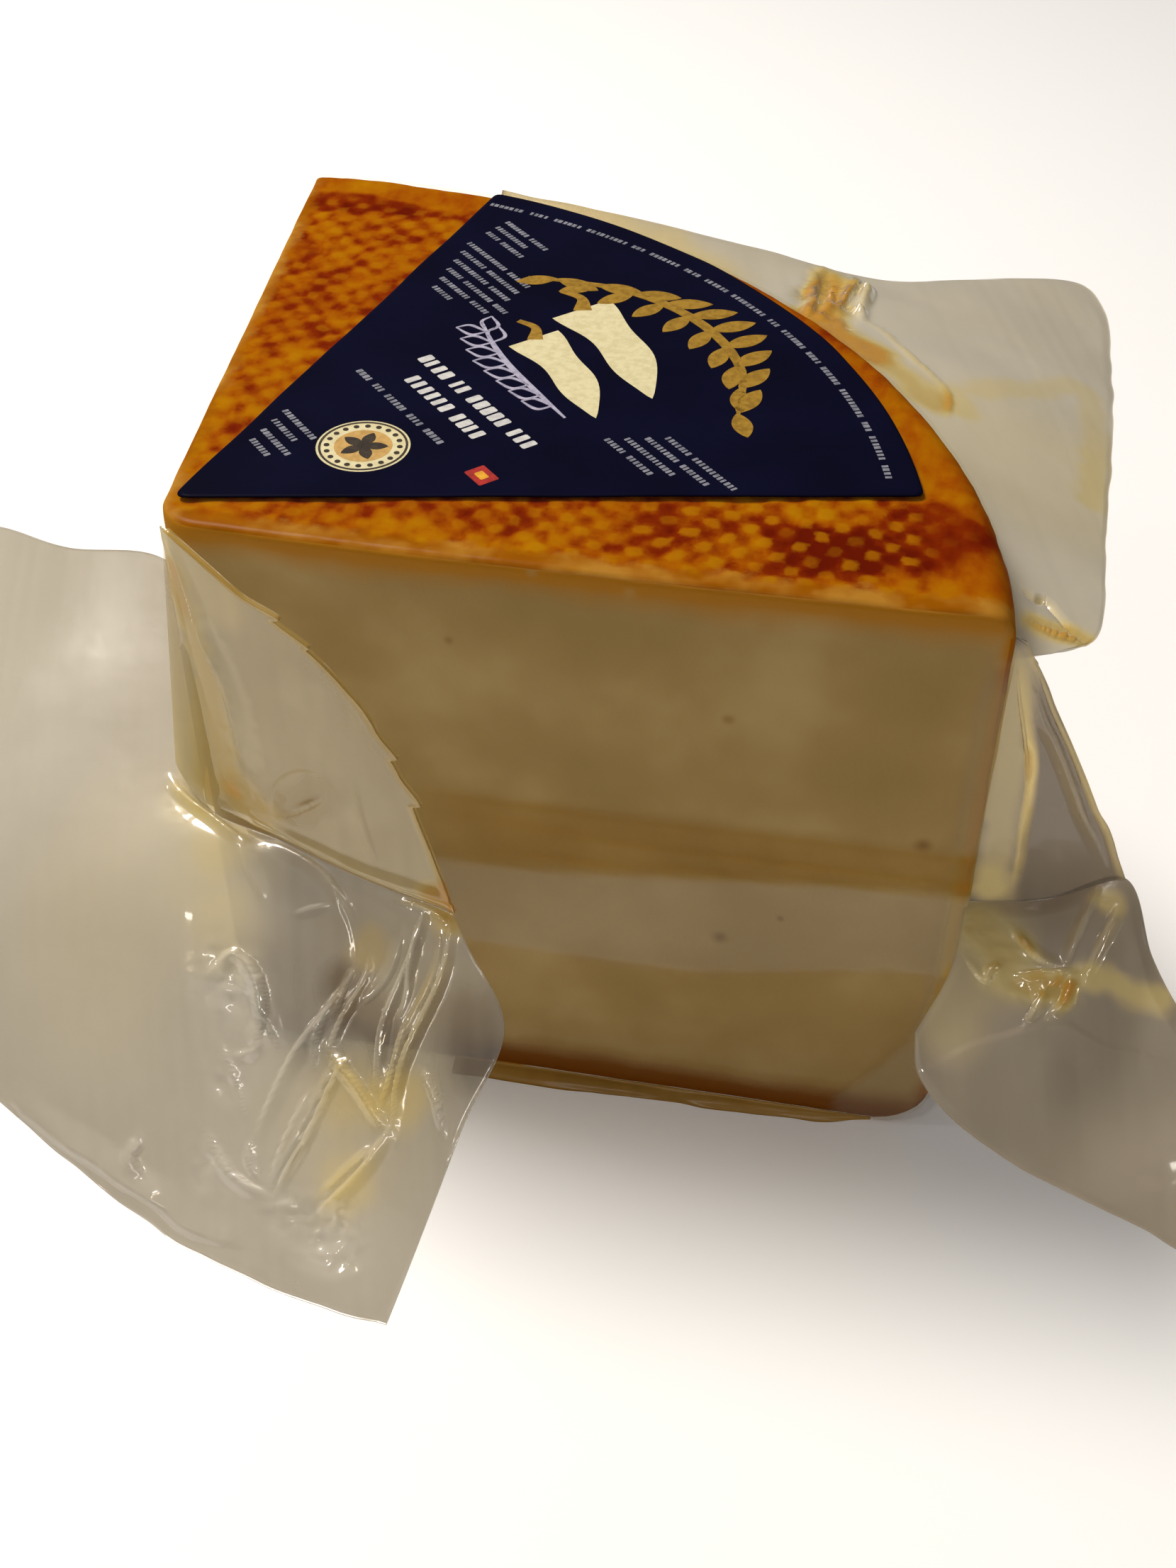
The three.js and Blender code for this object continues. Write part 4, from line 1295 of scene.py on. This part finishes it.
def vacuum_film_material(name, clear_tint, clear_milk, head_on, at_glance, tilt_haze, roughness):
    """Polyamide and polythene vacuum film, drawn tight and heat-sealed.

    Its two faces mirror a few parts in a hundred head on and far more at a glance. The outer face is smooth,
    which gives the sharp glints along creases, and the embossed inner one spreads a broad, soft sheen. Its
    plies scatter a little light, so it looks milky grey, whiter on stressed creases, where the whiteness
    along the ridges is partly a painted highlight, and faintly yellow where paprika oil has crept between
    them. Where the film clings to the rind, or is soaked with oil, its faces mirror next to nothing: head_on
    and at_glance, its mirrored shares seen straight and edge-on, are low.
    """
    material, tree = new_material(name)
    milky, oiled = (add(tree, "Attribute", give="Fac", attribute_name=title) for title in ("milky", "oiled"))
    tint = add(tree, "ValToRGB", [oiled], stops=((0.0, clear_tint), (0.5, "#efe0ae"), (1.0, "#e8cd84")))
    milk_stops = ((0.0, clear_milk), (0.5, "#c6b47e"), (0.75, "#ba9c50"), (1.0, "#be8a2a"))
    milk = add(tree, "ValToRGB", [oiled], stops=milk_stops)
    facing = add(tree, "LayerWeight", {"Blend": 0.5}, give="Facing")
    tilted, steep = (add(tree, "Math", [facing, power], operation="POWER") for power in (2.0, 5.0))
    haze = add(tree, "Math", [tilted, tilt_haze, milky], operation="MULTIPLY_ADD")
    clear = add(tree, "BsdfTransparent", {"Color": tint})
    plies = add(tree, "BsdfPrincipled", {"Base Color": milk, "Roughness": 0.5, "Specular IOR Level": 0.0})
    body = add(tree, "MixShader", [haze, clear, plies])
    # Both faces of a film of index 1.5 mirror more and more towards a glance, the same from either side
    mirror = add(tree, "Math", [steep, at_glance, head_on], operation="MULTIPLY_ADD")
    faces = [add(tree, "BsdfGlossy", {"Color": "#ffffff", "Roughness": each}) for each in (roughness, 0.36)]
    gloss = add(tree, "MixShader", [0.45, *faces])
    add(tree, "OutputMaterial", {"Surface": add(tree, "MixShader", [mirror, body, gloss])})
    return material


def label_paper_material():
    """Coated label paper printed solid dark blue: matte, with a faint tooth and slightly paler clouds."""
    material, tree = new_material("dark_blue_coated_paper")
    where = add(tree, "TexCoord", give="Object")
    tooth, clouds = (
        add(tree, "TexNoise", {"Vector": where, "Scale": 1 / (size * MM), "Detail": detail})
        for size, detail in ((0.35, 3.0), (14, 4.0))
    )
    look = {
        "Base Color": add(
            tree, "ValToRGB", [clouds], stops=((0.3, "#08081a"), (0.55, "#0a0a20"), (0.8, "#0d0e26"))
        ),
        "Roughness": add(tree, "MapRange", [tooth, 0.0, 1.0, 0.38, 0.46]),
        "IOR": 1.5,
        "Specular IOR Level": 0.02,
        "Normal": add(tree, "Bump", {"Height": tooth, "Strength": 0.2, "Distance": 0.03 * MM}),
    }
    add(tree, "OutputMaterial", {"Surface": add(tree, "BsdfPrincipled", look)})
    return material


def ink_material(name, base, worn, roughness=0.5, metallic=0.0):
    """Printing ink on coated paper, a little thinner in spots where the paper's tooth shows."""
    material, tree = new_material(name)
    where = add(tree, "TexCoord", give="Object")
    spots = add(tree, "TexNoise", {"Vector": where, "Scale": 1 / (0.8 * MM), "Detail": 4.0})
    colour = add(tree, "ValToRGB", [spots], stops=((0.35, worn), (0.6, base)))
    look = {"Base Color": colour, "Roughness": roughness, "Metallic": metallic, "Specular IOR Level": 0.3}
    add(tree, "OutputMaterial", {"Surface": add(tree, "BsdfPrincipled", look)})
    return material


def floor_material():
    """Plain painted board, matte and pale."""
    material, tree = new_material("pale_painted_board")
    surface = add(tree, "BsdfPrincipled", {"Base Color": "#fdfdfd", "Roughness": 0.9})
    add(tree, "OutputMaterial", {"Surface": surface})
    return material


# Stage: camera, floor and lights


def add_camera():
    """The photograph's viewpoint, worked out from the edges of the wedge and its label."""
    data = bpy.data.cameras.new("camera")
    data.lens = 43.94
    data.sensor_width = 36.0
    data.clip_start = 0.01
    camera = add_object("camera", data)
    camera.location = (np.array([78.55, -162.46, 201.40]) + WEDGE_ORIGIN) * MM
    camera.rotation_euler = [math.radians(angle) for angle in (48.11, -0.12, 10.74)]
    bpy.context.scene.camera = camera


# Area lights: place, width and height in metres, power in watts and colour. The narrow strip and the three
# small lights draw the bright lines along the film's creases
LIGHT_AIM = Vector((0, 0, 0.04))
LIGHTS = {
    "key_light": ((-0.37, 0.16, 0.77), (0.30, 0.30), 7.8, "#fff9f1"),
    "strip_light": ((0.035, -0.64, 0.52), (0.43, 0.035), 0.72, "#fff8ee"),
    "front_light": ((-0.15, -0.85, 0.55), (0.50, 0.50), 0.1, "#fff8ee"),
    "glint_light_0": ((-0.06, -0.42, 0.83), (0.035, 0.035), 0.4, "#fff8ee"),
    "glint_light_1": ((0.75, -0.40, 0.45), (0.035, 0.035), 0.4, "#fff8ee"),
    "glint_light_2": ((-0.66, -0.26, 0.50), (0.035, 0.035), 0.4, "#fff8ee"),
}
FLOOR_HALF = 3.0
FLOOR_DROP = 0.0004


def add_stage():
    """Pale floor, soft lights and an even surround."""
    mesh = bpy.data.meshes.new("floor")
    corners = [(FLOOR_HALF * x, FLOOR_HALF * y, 0) for x, y in ((-1, -1), (1, -1), (1, 1), (-1, 1))]
    mesh.from_pydata(corners, [], [(0, 1, 2, 3)])
    mesh.materials.append(floor_material())
    floor = add_object("floor", mesh)
    floor.location.z = -FLOOR_DROP
    for name, (place, size, power, colour) in LIGHTS.items():
        data = bpy.data.lights.new(name, "AREA")
        data.shape = "RECTANGLE"
        data.size, data.size_y = size
        data.energy = power
        data.color = linear(colour)[:3]
        light = add_object(name, data)
        light.location = place
        light.rotation_euler = (LIGHT_AIM - Vector(place)).to_track_quat("-Z", "Y").to_euler()
    world = bpy.data.worlds.new("surround")
    world.use_nodes = True
    surround = world.node_tree.nodes["Background"].inputs
    surround["Color"].default_value = linear("#f7f6f6")
    surround["Strength"].default_value = 0.13
    bpy.context.scene.world = world


# Making the pieces


def make_cheese():
    """The cheese, with paste on its cuts and rind elsewhere."""
    points, faces, attributes = cheese_points()
    finishes = [cloth_rind_material(), goat_paste_material()]
    piece = add_piece("cheese_wedge", points, faces, finishes, ["cheese"], attributes)
    cut = attributes["cut_face"]
    for polygon in piece.data.polygons:
        if cut[list(polygon.vertices)].mean() > 0.5:
            polygon.material_index = 1


def make_film():
    """The tight film round the wedge, and the loose sheets of the same bag."""
    tight = vacuum_film_material("tight_vacuum_film", "#fdfcf8", "#c6bfaf", 0.004, 0.035, 0.0, 0.2)
    loose = vacuum_film_material("loose_vacuum_film", "#cdc7bb", "#c6bfaf", 0.085, 0.85, 0.2, 0.055)
    # A darker copy of the loose film for the right pleat and ear: its grey tint and milk are painted shade,
    # for the side that lies in the wedge's shadow
    folded_shaded_film = vacuum_film_material("folded_vacuum_film_painted_shade", "#a0968a", "#b8ab94", 0.07, 0.75, 0.15, 0.055)
    # The hem's film is tinted brown by oil, and its dark tint and milk are also painted shade, for the hem
    # low along the wedge's base
    soaked = vacuum_film_material("oily_vacuum_film_painted_shade", "#80643a", "#9a7430", 0.015, 0.1, 0.1, 0.2)
    points, faces, attributes = skin_points()
    add_piece("bag_skin", points, faces, tight, ["bag"], attributes)
    sheets = {
        "bag_left_ear": (loose, LEFT_EAR),
        "bag_left_pleat": (loose, LEFT_PLEAT),
        "bag_right_pleat": (folded_shaded_film, RIGHT_PLEAT),
        "bag_right_ear": (folded_shaded_film, RIGHT_EAR),
        "bag_back_flap": (loose, BACK_FLAP),
        "bag_front_hem": (soaked, FRONT_HEM),
    }
    for name, (film, sheet) in sheets.items():
        points, faces, attributes = film_sheet(sheet)
        piece = add_piece(name, points, faces, film, ["bag"], attributes)
        # Clear film casts next to no shadow, and light from the table passes through it
        piece.visible_shadow = False
        piece.visible_diffuse = False


def make_label():
    points, faces = label_points()
    add_piece("label_sheet", points, faces, label_paper_material(), ["label"])
    add_label_prints(
        {
            "white": ink_material("white_ink", "#c8c6c2", "#b2b1b0"),
            "grey": ink_material("pale_grey_ink", "#82838c", "#62646f"),
            "gold": ink_material("gold_bronze_ink", "#b08830", "#957024", 0.42, 0.35),
            "cream": ink_material("cream_ink", "#d3c9a0", "#c6bb90"),
            "lilac": ink_material("lilac_white_ink", "#aaa6b8", "#8e8aa0"),
            "tan": ink_material("tan_ink", "#c09a58", "#ac8748"),
            "dark": ink_material("dark_brown_ink", "#2a2118", "#3a2f22"),
            "red": ink_material("red_ink", "#a8241c", "#8a1c18"),
            "yellow": ink_material("yellow_ink", "#dca028", "#c48a20"),
        }
    )


bpy.context.scene.view_settings.view_transform = "Standard"
add_camera()
add_stage()
make_cheese()
make_film()
make_label()
